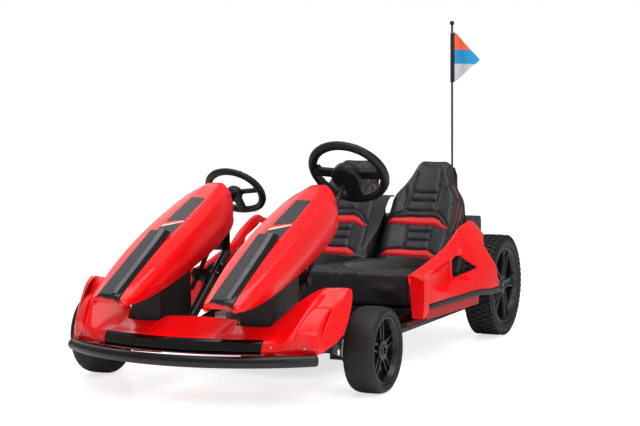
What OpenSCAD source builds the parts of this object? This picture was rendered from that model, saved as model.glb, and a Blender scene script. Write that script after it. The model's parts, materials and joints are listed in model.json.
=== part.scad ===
// Two-seat electric drift kart for children, millimetres.
// It faces -Y, +X is its left-hand side, and z = 0 is the floor it stands on.
// Lengthwise places are measured from the front axle; place() then centres the kart.

/* [Stance] */
// Distance from the front axle to the rear axle
wheelbase = 985; // [940:5:1040]
// Distance between the middles of the front tyres
front_track = 750; // [735:5:790]
// Distance between the middles of the rear tyres
rear_track = 682; // [675:5:740]
// Thickness of a moulded body panel
panel_wall = 3.5; // [2.5:0.5:5]

/* [Front wheels] */
// Outer diameter of a front tyre
front_tyre_d = 208; // [190:2:216]
// Width of a front tyre
front_tyre_w = 78; // [60:2:84]
// Outer diameter of a front rim's lip
front_rim_d = 164; // [140:2:170]
// Pairs of spokes in a front rim
front_spoke_pairs = 10; // [6:1:12]
// Width of one front spoke
front_spoke_w = 3.5; // [3:0.5:4.5]
// Distance between the two spokes of a front pair
front_spoke_gap = 9; // [8:0.5:11]

/* [Rear wheels] */
// Outer diameter of a rear tyre
rear_tyre_d = 292; // [270:2:300]
// Width of a rear tyre
rear_tyre_w = 86; // [70:2:90]
// Outer diameter of a rear rim's lip
rear_rim_d = 222; // [200:2:232]
// Spokes in a rear rim
rear_spokes = 5; // [4:1:6]
// Width of one rear spoke
rear_spoke_w = 26; // [20:1:30]

/* [Axles] */
// Diameter of the rear axle and the front stub axles
axle_d = 12; // [10:0.5:16]
// Radial play of a hub on its axle
running_play = 0.05; // [0.02:0.01:0.08]
// Gap between a wheel and the collar beside it
side_play = 1; // [0.5:0.5:3]

/* [Steering] */
// Distance of each kingpin from the middle of the kart
kingpin_x = 300; // [290:2:310]
// Diameter of a kingpin
kingpin_d = 12; // [10:1:14]
// Length of the arm from the kingpin to the tie rod
steer_arm = 70; // [60:5:80]
// Distance of each steering column from the middle of the kart
column_x = 152; // [146:2:156]
// Diameter of a steering column
column_d = 12; // [10:1:14]
// Slope of the steering columns above the floor, in degrees
column_slope = 43; // [41:1:46]
// Place of the driver's steering wheel behind the front axle
driver_wheel_y = 371; // [360:1:385]
// Height of the driver's steering wheel
driver_wheel_z = 503; // [495:1:515]
// How much nearer the front the second steering wheel sits along its column
second_wheel_set = 78; // [60:2:100]
// Outer diameter of the driver's steering wheel
driver_wheel_d = 222; // [200:2:240]
// Outer diameter of the second steering wheel
second_wheel_d = 171; // [150:1:190]
// Radius of the crank at the foot of the driver's column
crank_r = 52; // [48:1:55]
// Diameter of the ball on the crank
crank_ball_d = 13; // [11:1:15]

/* [Frame] */
// Distance of each side rail from the middle of the kart
rail_x = 276; // [270:2:282]
// Height of the side rails
rail_z = 90; // [84:2:96]
// Diameter of the frame tubes
rail_d = 25; // [20:1:28]
// Front end of the side rails
rail_front = 350; // [330:5:380]
// Thickness of the floor pan
floor_t = 4; // [3:0.5:6]
// Rear end of the floor pan
floor_rear = 530; // [500:5:540]

/* [Bumper] */
// Diameter of the bumper tube
bumper_d = 25; // [20:1:28]
// Distance of the bumper's middle in front of the front axle
bumper_reach = 340; // [330:2:350]
// Radius of the bumper's bow
bumper_bow_r = 500; // [460:10:560]
// Half width of the bumper
bumper_half_w = 325; // [300:5:340]
// Height of the bumper tube
bumper_z = 101; // [96:1:104]
// Wall of the bumper tube
bumper_wall = 2; // [1.5:0.5:3]
// Distance of each bumper arm from the middle of the kart
bumper_arm_x = 225; // [210:5:235]

/* [Noses] */
// Distance of each nose from the middle of the kart
nose_x = 148; // [144:1:152]
// Width of the black strip on a nose
nose_strip_w = 54; // [44:2:56]
// Thickness of the black strip on a nose
nose_strip_t = 3; // [2:0.5:4]
// Distance of each nose's support tube from the middle of the kart
support_x = 120; // [116:1:121]
// Diameter of a nose's support tube
support_d = 26; // [22:1:27]

/* [Side pods] */
// How far the side pods stand out from their drawn place
pod_out = 0; // [-2:1:6]
// Thickness of the black stripe along a pod
pod_stripe_t = 2; // [1:0.5:3]

/* [Seats] */
// Distance of each seat from the middle of the kart
seat_x = 127; // [126:1:130]
// Half width of a seat back at its widest
seat_half_w = 124; // [115:1:125]
// Recline of the seat backs from upright, in degrees
seat_recline = 35; // [32:1:36]
// Front edge of the seat bench
bench_front = 532; // [525:1:545]
// Top of the seat bench
bench_top = 222; // [216:2:228]
// Underside of the seat bench's cushion
bench_bottom = 126; // [122:2:130]
// Half width of the seat bench
bench_half_w = 256; // [240:2:258]

/* [Flag] */
// Diameter of the flag mast
mast_d = 6; // [4:1:8]
// Distance of the mast from the middle of the kart
mast_x = 168; // [150:2:180]
// Height of the mast's ball above the floor
mast_top = 909; // [800:5:960]
// Length of the pennant's edge along the mast
flag_hoist = 150; // [120:5:180]
// Length of the pennant from the mast to its tip
flag_fly = 88; // [70:2:110]

/* [Hidden] */
$fn = 48;
red = [0.86, 0.07, 0.05];
black = [0.06, 0.06, 0.065];
dark = [0.11, 0.11, 0.12];

front_axle_z = front_tyre_d / 2;
rear_axle_z = rear_tyre_d / 2;
// Half of the kart's length lies on each side of this place
mid_y = (wheelbase + rear_tyre_d / 2 - bumper_reach - bumper_d / 2) / 2;
hub_bore_d = axle_d + 2 * running_play;

// Common tools

function unit(v) = v / max(norm(v), 0.0001);

// One value between four neighbours, on a smooth curve through the middle two
function smooth4(a, b, c, d, t) =
    b + t / 2 * (c - a + t * (2 * a - 5 * b + 4 * c - d + t * (3 * (b - c) + d - a)));

// A row at place u along a table, smoothed between its rows
function row_at(table, u) =
    let (n = len(table), i = min(floor(u), n - 2), t = u - i)
    [for (k = [0:len(table[0]) - 1])
        smooth4(table[max(i - 1, 0)][k], table[i][k], table[i + 1][k],
            table[min(i + 2, n - 1)][k], t)];

// A table with steps - 1 smoothed rows added between each two of its rows
function refine(table, steps) =
    [for (i = [0:(len(table) - 1) * steps]) row_at(table, i / steps)];

// Outward normal at a place in a grid of points
function grid_normal(g, i, j) =
    let (a = g[min(i + 1, len(g) - 1)][j] - g[max(i - 1, 0)][j],
         b = g[i][min(j + 1, len(g[0]) - 1)] - g[i][max(j - 1, 0)])
    unit(cross(a, b));

// A wall between two depths below a grid of surface points
module panel(g, outer, inner) {
    m = len(g);
    n = len(g[0]);
    top = [for (i = [0:m - 1], j = [0:n - 1]) g[i][j] - outer * grid_normal(g, i, j)];
    low = [for (i = [0:m - 1], j = [0:n - 1]) g[i][j] - inner * grid_normal(g, i, j)];
    s = m * n;
    rim = concat([for (i = [0:m - 1]) i * n], [for (j = [1:n - 1]) (m - 1) * n + j],
        [for (i = [m - 2:-1:0]) i * n + n - 1], [for (j = [n - 2:-1:1]) j]);
    faces = concat(
        [for (i = [0:m - 2], j = [0:n - 2]) [i * n + j, i * n + j + 1, (i + 1) * n + j]],
        [for (i = [0:m - 2], j = [0:n - 2]) [i * n + j + 1, (i + 1) * n + j + 1, (i + 1) * n + j]],
        [for (i = [0:m - 2], j = [0:n - 2]) [s + i * n + j, s + (i + 1) * n + j, s + i * n + j + 1]],
        [for (i = [0:m - 2], j = [0:n - 2])
            [s + i * n + j + 1, s + (i + 1) * n + j, s + (i + 1) * n + j + 1]],
        [for (k = [0:len(rim) - 1]) let (a = rim[k], b = rim[(k + 1) % len(rim)]) [a, b, s + a]],
        [for (k = [0:len(rim) - 1]) let (a = rim[k], b = rim[(k + 1) % len(rim)]) [b, s + b, s + a]]);
    polyhedron(concat(top, low), faces);
}

// A closed solid through rings of equally many points, each ring seen whole from its first point
module loft(rings) {
    m = len(rings);
    n = len(rings[0]);
    points = [for (r = rings) each r];
    faces = concat(
        [for (j = [1:n - 2]) [0, j, j + 1]],
        [for (j = [1:n - 2]) [(m - 1) * n, (m - 1) * n + j + 1, (m - 1) * n + j]],
        [for (i = [0:m - 2], j = [0:n - 1]) [i * n + (j + 1) % n, i * n + j, (i + 1) * n + j]],
        [for (i = [0:m - 2], j = [0:n - 1])
            [i * n + (j + 1) % n, (i + 1) * n + j, (i + 1) * n + (j + 1) % n]]);
    polyhedron(points, faces);
}

// A round bar between two points
module bar(a, b, d) {
    v = b - a;
    translate(a)
        rotate([0, acos(v[2] / norm(v)), atan2(v[1], v[0])])
            cylinder(h = norm(v), d = d);
}

module both_sides() {
    children();
    mirror([1, 0, 0])
        children();
}

// Moves the whole kart so that its length is centred
module place() {
    translate([0, -mid_y, 0])
        children();
}

// Frame

rail_rear = wheelbase + 45;
beam_half = kingpin_x - 26;
beam_size = 28;
rail_neck_x = beam_half - 62;
rail_top = rail_z + rail_d / 2;

module side_rail() {
    color(black) {
        difference() {
            union() {
                bar([rail_x, rail_front, rail_z], [rail_x, rail_rear, rail_z], rail_d);
                bar([rail_x, rail_front, rail_z], [rail_neck_x, 0, rail_z], rail_d);
                translate([rail_x, rail_front, rail_z])
                    sphere(d = rail_d + 1.5);
            }
            translate([0, -2 * beam_size, 0])
                cube([rail_x, 2.5 * beam_size + 0.3, 2 * rail_z]);
        }
    }
}

module left_rail() side_rail();

module right_rail() mirror([1, 0, 0]) side_rail();

yoke_gap = 44;
yoke_t = 6;

// Square beam across the front with a fork at each end for the kingpins
module front_beam() {
    color(black) {
        translate([-beam_half, -beam_size / 2, front_axle_z - beam_size / 2])
            cube([2 * beam_half, beam_size, beam_size]);
        both_sides()
            difference() {
                union() {
                    translate([beam_half - 6, -beam_size / 2, front_axle_z - yoke_gap / 2 - yoke_t])
                        cube([kingpin_x - beam_half + 6, beam_size, yoke_gap + 2 * yoke_t]);
                    translate([kingpin_x, 0, front_axle_z - yoke_gap / 2 - yoke_t])
                        cylinder(h = yoke_gap + 2 * yoke_t, d = beam_size);
                }
                translate([beam_half + 2, -beam_size, front_axle_z - yoke_gap / 2])
                    cube([3 * beam_size, 2 * beam_size, yoke_gap]);
                translate([kingpin_x, 0, 0])
                    cylinder(h = 2 * front_axle_z, d = kingpin_d + 2 * running_play);
            }
    }
}

mid_tube_y = 560;
rear_tube_y = wheelbase - 85;

// Inner side of the side rails
floor_edge = rail_x - rail_d / 2;

module cross_tubes() {
    color(black)
        for (y = [mid_tube_y, rear_tube_y])
            bar([0.3 - floor_edge, y, rail_z], [floor_edge - 0.3, y, rail_z], rail_d - 4);
}

floor_z = rail_z + 3;
floor_front = steer_arm + 26;
floor_rim = 26;
floor_half = floor_edge - 0.3;
floor_neck = 186;
// The pan starts to narrow behind the bead where the rails bend in
floor_bend = rail_front + 20;

module floor_outline(inset) {
    polygon([[-floor_neck + inset, floor_front + inset], [floor_neck - inset, floor_front + inset],
        [floor_half - inset, floor_bend], [floor_half - inset, floor_rear - inset],
        [-floor_half + inset, floor_rear - inset], [-floor_half + inset, floor_bend]]);
}

// Shallow tub under the feet
module floor_pan() {
    color(black)
        difference() {
            translate([0, 0, floor_z])
                linear_extrude(height = floor_rim)
                    floor_outline(0);
            translate([0, 0, floor_z + floor_t])
                linear_extrude(height = floor_rim)
                    floor_outline(floor_t);
        }
}

bumper_turn = asin(bumper_half_w / bumper_bow_r);

// Bowed tube, open at both ends
module front_bumper() {
    color(black)
        translate([0, bumper_bow_r - bumper_reach, bumper_z])
            rotate([0, 0, -90 - bumper_turn])
                rotate_extrude(angle = 2 * bumper_turn, $fn = 96)
                    translate([bumper_bow_r, 0])
                        difference() {
                            circle(d = bumper_d);
                            circle(d = bumper_d - 2 * bumper_wall);
                        }
}

bumper_arm_end = bumper_bow_r - bumper_reach
    - sqrt(pow(bumper_bow_r - bumper_d / 2, 2) - pow(bumper_arm_x, 2));

// Tubes from the beam to the bumper, each with a block under the fairing's lip
module bumper_arms() {
    color(black)
        both_sides() {
            bar([bumper_arm_x, bumper_arm_end + 5.5, bumper_z],
                [bumper_arm_x, -beam_size / 2 - 0.3, bumper_z],
                bumper_d - 5);
            translate([bumper_arm_x - 12, -262, bumper_z])
                cube([24, 26, lip_z - bumper_z - 0.3]);
        }
}

// Front fairing

lip_z = 117;

// Ribs of the fairing from the middle outwards, each as
// [x, y, z] of its lip, brow, crest, deck and rear edge
fairing_ribs = [
    [0, -297, 117, 0, -303, 126, 0, -288, 151, 0, -225, 168, 0, -155, 186],
    [85, -291, 117, 85, -296, 126, 85, -282, 151, 85, -222, 167, 85, -162, 184],
    [150, -277, 117, 150, -282, 126, 150, -268, 151, 150, -240, 160, 150, -214, 167],
    [207, -258, 117, 207, -263, 126, 207, -248, 151, 206, -200, 166, 204, -148, 190],
    [245, -243, 117, 246, -247, 127, 247, -233, 151, 240, -188, 185, 232, -128, 215],
    [283, -226, 118, 284, -229, 129, 284, -214, 156, 276, -168, 207, 264, -118, 243],
    [308, -215, 119, 309, -216, 131, 308, -199, 163, 303, -152, 225, 293, -113, 261],
    [330, -208, 120, 332, -206, 133, 340, -180, 168, 338, -130, 226, 328, -97, 263],
    [336, -204, 122, 346, -194, 136, 364, -150, 160, 366, -108, 225, 356, -86, 258]];

function rib_points(r) = [for (k = [0:4]) [r[3 * k], r[3 * k + 1], r[3 * k + 2]]];

function fairing_half(steps) = [for (r = refine(fairing_ribs, steps)) refine(rib_points(r), 2)];

function flip_x(points) = [for (p = points) [-p[0], p[1], p[2]]];

function fairing_grid(steps) =
    let (h = fairing_half(steps))
    concat([for (i = [len(h) - 1:-1:1]) flip_x(h[i])], h);

module front_fairing() {
    color(red)
        difference() {
            panel(fairing_grid(2), 0, panel_wall);
            both_sides()
                translate([nose_x, pedestal_front - pedestal_gap, lip_z])
                    linear_extrude(height = 160)
                        offset(r = 3)
                            translate([3 - pedestal_half_w - pedestal_gap, 3])
                                square([2 * (pedestal_half_w + pedestal_gap) - 6, 200]);
        }
}

// Black band along the fairing's brow
module fairing_trim() {
    band = [for (r = fairing_grid(2)) if (abs(r[2][0]) < 210) [r[1], r[2], r[3], r[4]]];
    color(black)
        panel(band, -3.3, -0.3);
}

// Noses

// Sections of a nose from its tip to its rear face, each as
// [y, top z, top half width, crease half width, crease z, widest half width, widest z,
//  lower half width, lower z]
nose_rows = [
    [-345, 252, 27, 34, 248, 44, 240, 43, 227],
    [-325, 260, 28, 39, 254, 52, 243, 49, 227],
    [-260, 287, 28, 45, 276, 63, 254, 57, 234],
    [-180, 318, 28, 49, 304, 69, 271, 61, 250],
    [-80, 360, 27, 51, 345, 72, 303, 62, 275],
    [20, 404, 26, 50, 388, 70, 340, 60, 302],
    [110, 445, 25, 47, 429, 65, 375, 55, 328],
    [165, 473, 22, 42, 454, 58, 400, 50, 350],
    [200, 481, 20, 37, 465, 50, 415, 45, 364]];

function nose_section(r) =
    let (half = [[r[2], r[1]], [r[3], r[4]], [(r[3] + r[5]) / 2 + 3, (r[4] + r[6]) / 2 + 1], [r[5], r[6]],
        [(r[5] + r[7]) / 2 + 2, (r[6] + r[8]) / 2 - 2], [r[7], r[8]]])
    [for (p = concat([for (k = [5:-1:0]) [-half[k][0], half[k][1]]], half)) [nose_x + p[0], r[0], p[1]]];

// A row of nose_rows drawn in by the wall, running out below the lower edge
function hollow_row(r) =
    let (w = panel_wall)
    [r[0], r[1] - 1.1 * w, r[2] - 0.5 * w, r[3] - w, r[4] - 0.9 * w, r[5] - w, r[6], r[7] - w,
        r[8] - 3 * w];

module nose_shell() {
    rows = refine(nose_rows, 2);
    last = len(rows) - 1;
    color(red)
        difference() {
            loft([for (r = rows) nose_section(r)]);
            loft([for (i = [0:last])
                let (r = hollow_row(rows[i]), dy = i == 0 ? panel_wall : i == last ? -panel_wall : 0)
                nose_section([r[0] + dy, for (k = [1:8]) r[k]])]);
        }
}

module driver_nose() nose_shell();

module second_nose() mirror([1, 0, 0]) nose_shell();

nose_strip_rear = -20;

function strip_points(r) =
    let (h = nose_strip_w / 2 * r[2] / nose_rows[0][2])
    [for (k = [2:-1:-2]) [nose_x + k / 2 * h, r[0], r[1]]];

module nose_strips() {
    rows = [for (r = refine(nose_rows, 2)) if (r[0] < nose_strip_rear) strip_points(r)];
    tip = [for (p = rows[0]) [p[0], p[1] + 0.5, p[2] - 18]];
    color(black)
        both_sides()
            panel(concat([tip], rows), -0.7 - nose_strip_t, -0.7);
}

pedestal_rear = -112;
pedestal_front = -203;
pedestal_half_w = 42;
pedestal_gap = 1.5;
// Front and rear edge of a pedestal's top as [y, z], just under the nose's top wall
pedestal_top = [[-180, 318 - 1.08 * panel_wall - 0.9], [-130, 339 - 1.08 * panel_wall - 0.9]];

// Black housings that carry the noses
module nose_pedestals() {
    behind_beam = -beam_size / 2 - 0.3;
    // Rings as [front y, rear y, front z, rear z, half width]
    rings = [
        [pedestal_front, behind_beam, 92, 92, pedestal_half_w],
        [pedestal_front, behind_beam, 114, 114, pedestal_half_w],
        [pedestal_front, pedestal_rear, 150, 150, pedestal_half_w],
        [pedestal_front + 6, pedestal_rear - 10, 236, 240, pedestal_half_w - 4],
        [pedestal_top[0][0], pedestal_top[1][0], pedestal_top[0][1], pedestal_top[1][1], 22]];
    color(black)
        both_sides()
            loft([for (r = rings) [
                [nose_x - r[4], r[0], r[2]],
                [nose_x + r[4], r[0], r[2]],
                [nose_x + r[4], r[1], r[3]],
                [nose_x - r[4], r[1], r[3]]]]);
}

column_dir = [0, cos(column_slope), sin(column_slope)];
driver_wheel_at = [column_x, driver_wheel_y, driver_wheel_z];

// A point on the driver's column's axis at a given place along the kart
function column_at(y) = driver_wheel_at + (y - driver_wheel_y) / column_dir[1] * column_dir;

support_foot = [support_x, 0, 152];
support_top = [support_x, 196, 300];
nose_rear = 200;
bearing_ys = [100, 178];
bearing_len = 22;
bearing_w = column_d + 12;
foot_size = 32;

// Tube under a nose that also holds the column's two bearings
module support() {
    color(black)
        difference() {
            union() {
                bar(support_foot, support_top, support_d);
                translate([support_x - foot_size / 2, -foot_size / 2, front_axle_z + beam_size / 2 + 0.3])
                    cube([foot_size, foot_size, support_foot[2] - front_axle_z - beam_size / 2 + 4]);
                translate([support_x - 12, nose_rear - panel_wall - 5, support_top[2] - 8])
                    cube([24, 4, 140]);
                for (y = bearing_ys)
                    on_column(y)
                        translate([support_x - column_x, -bearing_w / 2, -bearing_len / 2])
                            cube([column_x - support_x + bearing_w / 2, bearing_w, bearing_len]);
            }
            on_column(-100)
                cylinder(h = 600, d = column_d + 2 * running_play);
        }
}

// Turns its children so that +Z runs up the driver's column from the place y along the kart
module on_column(y) {
    translate(column_at(y))
        rotate([column_slope - 90, 0, 0])
            children();
}

module driver_support() support();

module second_support() mirror([1, 0, 0]) support();

pedal_x = 84;

// Foot pedal on its bracket, at the front of the floor pan
module pedal() {
    color(dark)
        translate([pedal_x, floor_front + 30, floor_z + floor_t + 0.3]) {
            rotate([24, 0, 0])
                translate([-22, -3, 8])
                    cube([44, 6, 86]);
            translate([-16, -16, 0])
                cube([32, 32, 14]);
        }
}

// Side pods

// Sections of a pod from front to rear, each as
// [y, rail x, z, lip x, z, upper deep x, z, lower deep x, z, ridge x, z, stripe x, z, foot x, z]
pod_rows = [
    [406, 309, 234, 328, 230, 334, 228, 340, 226, 350, 223, 350, 172, 346, 121],
    [440, 312, 241, 332, 229, 336, 222, 342, 214, 355, 212, 355, 171, 354, 160],
    [500, 317, 254, 337, 236, 333, 224, 334, 198, 365, 190, 367, 169, 366, 157],
    [580, 321, 271, 343, 250, 332, 240, 333, 200, 376, 192, 382, 167, 381, 154],
    [650, 325, 290, 348, 266, 333, 254, 334, 204, 384, 200, 393, 165, 392, 151],
    [705, 329, 312, 352, 290, 372, 262, 378, 232, 391, 210, 400, 161, 399, 147],
    [745, 332, 338, 355, 312, 370, 280, 384, 246, 396, 220, 405, 157, 404, 145],
    [790, 335, 346, 358, 318, 373, 286, 388, 252, 401, 225, 409, 153, 408, 145],
    [826, 338, 342, 361, 310, 376, 280, 391, 250, 405, 224, 412, 149, 411, 143]];

pod_flange_w = 12;
pod_flange_h = 26;
// The pods end in front of the rear tyres
pod_front = pod_rows[0][0];
pod_len = pod_rows[len(pod_rows) - 1][0] - pod_front;
pod_rear = wheelbase - 159;

function pod_y(y) = pod_front + (y - pod_front) * (pod_rear - pod_front) / pod_len;

// Points of a section from the foot up over the rail to the inner flange
function pod_section(r) =
    let (inner = [[r[1] - pod_flange_w + 3, r[2] - 3], [r[1] - pod_flange_w, r[2] - pod_flange_h]])
    [for (p = concat([for (k = [6:-1:0]) [r[2 * k + 1], r[2 * k + 2]]], inner))
        [p[0] + pod_out, pod_y(r[0]), p[1]]];

// The front wall of a pod, drawn in to a line down its middle
function pod_nose(section) =
    let (c = (section[0][0] + section[8][0]) / 2)
    [for (p = section) [c + (p[0] - c) * 0.1, p[1] + 4, p[2]]];

pod_sections = [for (r = refine(pod_rows, 2)) pod_section(r)];
// Number of the section where the end wall of a pod's scoop starts
scoop_wall = 8;

// A place on the scoop's end wall, u along it from 0 to 2 and v up it from 0 to 1
function scoop_point(u, v) =
    let (i = min(floor(u), 1), t = u - i,
         a = pod_sections[scoop_wall + i], b = pod_sections[scoop_wall + i + 1])
    (a[3] + (a[4] - a[3]) * v) * (1 - t) + (b[3] + (b[4] - b[3]) * v) * t;

// Triangle on the end wall, grown by a margin
function scoop_grid(grow) =
    [for (r = [[0.25 - grow, 0.06, 0.94], [0.8, 0.2, 0.92], [1.35, 0.42, 0.86], [1.75 + grow, 0.62, 0.8]])
        [scoop_point(r[0], r[1] - grow / 2), scoop_point(r[0], r[2] + grow / 2)]];

module pod_shell() {
    color(red)
        difference() {
            panel(concat([pod_nose(pod_sections[0])], pod_sections), 0, panel_wall);
            panel(scoop_grid(0), -4, panel_wall + 3);
        }
}

module left_pod() pod_shell();

module right_pod() mirror([1, 0, 0]) pod_shell();

module pod_stripes() {
    rows = [for (s = pod_sections) if (s[0][1] > 439) [s[0], s[1]]];
    color(black)
        both_sides()
            panel(rows, -pod_stripe_t - 0.3, -0.3);
}

// Mesh plates behind the openings in the scoops
module pod_grilles() {
    color(black)
        both_sides()
            panel(scoop_grid(0.1), panel_wall + 0.6, panel_wall + 2.6);
}

// Lower panels that carry the pods on the side rails
module pod_sills() {
    rows = [for (p = pod_sections) if (p[0][1] > 425 && p[0][1] < 700)
        let (x = p[0][0] - panel_wall - 0.6, y = p[0][1])
        [[rail_x + 0.5, y, rail_top + 0.3], [rail_x + 14, y, rail_top + 0.3],
            [x - 16, y, 114], [x - 3, y, 118], [x, y, p[0][2] + 5]]];
    color(red)
        both_sides()
            panel(rows, 0, panel_wall);
}

// Seats

back_dir = [0, sin(seat_recline), cos(seat_recline)];
back_front = [0, -cos(seat_recline), sin(seat_recline)];
seat_foot = [seat_x, wheelbase - 123, 205];

// Sections of a seat back from its foot to its top, each as
// [distance up the back, half width, thickness]
seat_rows = [
    [-53, 0.9, 62],
    [0, 0.93, 62],
    [50, 0.98, 66],
    [120, 1, 66],
    [185, 0.98, 62],
    [225, 0.90, 58],
    [262, 0.73, 52],
    [300, 0.60, 48],
    [340, 0.53, 46],
    [362, 0.44, 40]];

function seat_ring(r) =
    let (w = r[1] * seat_half_w, t = r[2],
         shape = [[0, 0], [-0.9, 0], [-1, 0.5], [-0.93, 1], [-0.55, 0.9], [0, 0.78], [0.55, 0.9],
             [0.93, 1], [1, 0.5], [0.9, 0]])
    [for (p = shape) seat_foot + r[0] * back_dir + [p[0] * w, 0, 0] + (p[1] - 1) * t * back_front];

module seat_back() {
    color(dark)
        loft([for (r = seat_rows) seat_ring(r)]);
}

module driver_seat() seat_back();

module second_seat() mirror([1, 0, 0]) seat_back();

shell_foot = -46;

// Moulded shells behind the seat backs
module seat_shells() {
    color(black)
        both_sides()
            panel([for (r = seat_rows) let (w = 0.97 * r[1] * seat_half_w)
                [for (k = [-2:2]) seat_foot + max(r[0], shell_foot) * back_dir + [k / 2 * w, 0, 0]
                    - (r[2] + 0.5) * back_front]], -4, 0);
}

module seat_bench() {
    r = 16;
    h = bench_top - bench_bottom;
    rear_top = seat_foot[1] + (bench_top - seat_foot[2]) * tan(seat_recline) - bench_front - 2;
    rear_low = rear_top - h * tan(seat_recline);
    color(dark)
        translate([-bench_half_w, bench_front, bench_bottom])
            hull() {
                for (x = [r, 2 * bench_half_w - r])
                    translate([x, r, 0]) {
                        cylinder(h = h - 14, r = r);
                        cylinder(h = h, r = r - 4);
                    }
                translate([0, rear_low - 1, 0])
                    cube([2 * bench_half_w, 1, 1]);
                translate([4, rear_top - 1, h - 1])
                    cube([2 * bench_half_w - 8, 1, 1]);
            }
}

// The tray ends in front of the motors
box_rear = wheelbase - 79.7;

// Tray that holds the bench on the side rails
module seat_box() {
    color(black)
        translate([0.5 - rail_x, floor_rear + 0.3, rail_top + 0.3])
            difference() {
                cube([2 * rail_x - 1, box_rear - floor_rear - 0.3, bench_bottom - rail_top - 0.6]);
                translate([24, panel_wall, -1])
                    cube([2 * rail_x - 49, box_rear - floor_rear - 2 * panel_wall - 0.3,
                    bench_bottom - rail_top - 4]);
            }
}

module lap_belts() {
    color(black)
        both_sides()
            translate([seat_x - 75, seat_foot[1] - 58, bench_top + 0.3])
                cube([150, 38, 2.5]);
}

// Rear end

cover_half_w = 255;
cover_bottom = rear_axle_z + 26.3;
cover_top = 334;
cover_rear = wheelbase + 144;

// A point on the line that the backs of the seat shells lie on, at height z
function shell_back_y(z) =
    let (p = seat_foot + 50 * back_dir - 70.8 * back_front)
    p[1] + (z - p[2]) * tan(seat_recline);

module cover_outline(inset) {
    offset(r = 8)
        offset(delta = -8 - inset)
            polygon([[shell_back_y(cover_bottom), cover_bottom], [shell_back_y(cover_top), cover_top],
                [cover_rear - 7, cover_top], [cover_rear, cover_top - 12], [cover_rear, cover_bottom]]);
}

// Closed moulded housing behind the seats
module rear_cover() {
    color(black)
        rotate([90, 0, 90])
            difference() {
                translate([0, 0, -cover_half_w])
                    linear_extrude(height = 2 * cover_half_w)
                        cover_outline(0);
                translate([0, 0, panel_wall - cover_half_w])
                    linear_extrude(height = 2 * cover_half_w - 2 * panel_wall)
                        cover_outline(panel_wall);
            }
}

module battery() {
    color(dark)
        translate([-75, wheelbase + 47, cover_bottom + panel_wall + 0.3])
            cube([150, 75, 85]);
}

motor_x = rear_track / 2 - rear_tyre_w / 2 - 66;

module motors() {
    color(dark)
        both_sides()
            difference() {
                union() {
                    translate([motor_x, wheelbase - 45, rail_top + 0.3])
                        cube([46, 90, cover_bottom - rail_top - 0.6]);
                    translate([motor_x - 60, wheelbase - 50, rear_axle_z + 4])
                        rotate([0, 90, 0])
                            cylinder(h = 61, d = 38);
                }
                translate([motor_x - 100, wheelbase, rear_axle_z])
                    rotate([0, 90, 0])
                        cylinder(h = 200, d = axle_d + 0.6);
            }
}

axle_half = rear_track / 2 + rear_tyre_w / 2 - 12;

module rear_axle() {
    color("silver")
        bar([-axle_half, wheelbase, rear_axle_z], [axle_half, wheelbase, rear_axle_z], axle_d);
}

mast_y = cover_rear - 15;

module flag_mast() {
    color(black) {
        translate([mast_x, mast_y, cover_top + 0.3])
            cylinder(h = mast_top - cover_top, d = mast_d);
        translate([mast_x, mast_y, mast_top])
            sphere(d = 14);
        translate([mast_x, mast_y, cover_top + 0.3])
            cylinder(h = 16, d = 12);
    }
}

module flag() {
    top = mast_top - 26;
    color("orange")
        translate([mast_x, mast_y, top - flag_hoist])
            difference() {
                union() {
                    cylinder(h = flag_hoist, d = mast_d + 5);
                    translate([0, 1, 0])
                        rotate([90, 0, 0])
                            linear_extrude(height = 2)
                                polygon([[0, 0], [flag_fly, flag_hoist * 0.33], [0, flag_hoist]]);
                }
                translate([0, 0, -1])
                    cylinder(h = flag_hoist + 2, d = mast_d + 0.6);
            }
}

// Wheels

// Profile of a tyre as [radius, distance from its middle], turned about the axle
module tyre(d, w, rim_d, bead) {
    r = d / 2;
    h = w / 2;
    rr = rim_d / 2;
    rotate([0, 90, 0])
        rotate_extrude($fn = 96)
            polygon([[rr - bead, -h + 7], [rr + 2, -h + 1], [r - 14, -h], [r - 5, -h + 6], [r - 1, -h + 15],
                [r, -h + 24], [r, h - 24], [r - 1, h - 15], [r - 5, h - 6], [r - 14, h], [rr + 2, h - 1],
                [rr - bead, h - 7]]);
}

// Barrel of a rim, with a lip that slopes in to the spokes
module rim_barrel(d, w, bead, lip_w) {
    rr = d / 2 - bead - 0.3;
    e = w / 2;
    rotate([0, 90, 0])
        rotate_extrude($fn = 96)
            polygon([[rr - 5, 7 - e], [rr, 7 - e], [rr, e - 6.6], [d / 2, e - 2], [d / 2 - 1, e],
                [d / 2 - 3.5, e + 0.5], [rr - lip_w, e - lip_w], [rr - lip_w, e - 27], [rr - 5, e - 32]]);
}

// Hub with a wider disc where the spokes meet
module rim_hub(w, hub_d, disc_d, front) {
    rotate([0, 90, 0])
        translate([0, 0, 7 - w / 2]) {
            cylinder(h = w / 2 - 7 + front - 4, d = hub_d);
            translate([0, 0, w / 2 - 7 + front - 14])
                cylinder(h = 16, d = disc_d);
        }
}

module rim_bore(w) {
    translate([-w, 0, 0])
        rotate([0, 90, 0])
            cylinder(h = 2 * w, d = hub_bore_d);
}

spoke_t = 10;

// Rim with pairs of thin parallel spokes
module front_rim() {
    rr = front_rim_d / 2 - rim_bead - 0.3;
    face = front_tyre_w / 2 - 15;
    difference() {
        union() {
            rim_barrel(front_rim_d, front_tyre_w, rim_bead, 12);
            rim_hub(front_tyre_w, 34, 50, face);
            for (k = [0:front_spoke_pairs - 1], side = [-1, 1])
                rotate([k * 360 / front_spoke_pairs, 0, 0])
                    translate([face - spoke_t, side * front_spoke_gap / 2 - front_spoke_w / 2, 14])
                        cube([spoke_t, front_spoke_w, rr - 18]);
        }
        rim_bore(front_tyre_w);
    }
}

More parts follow.
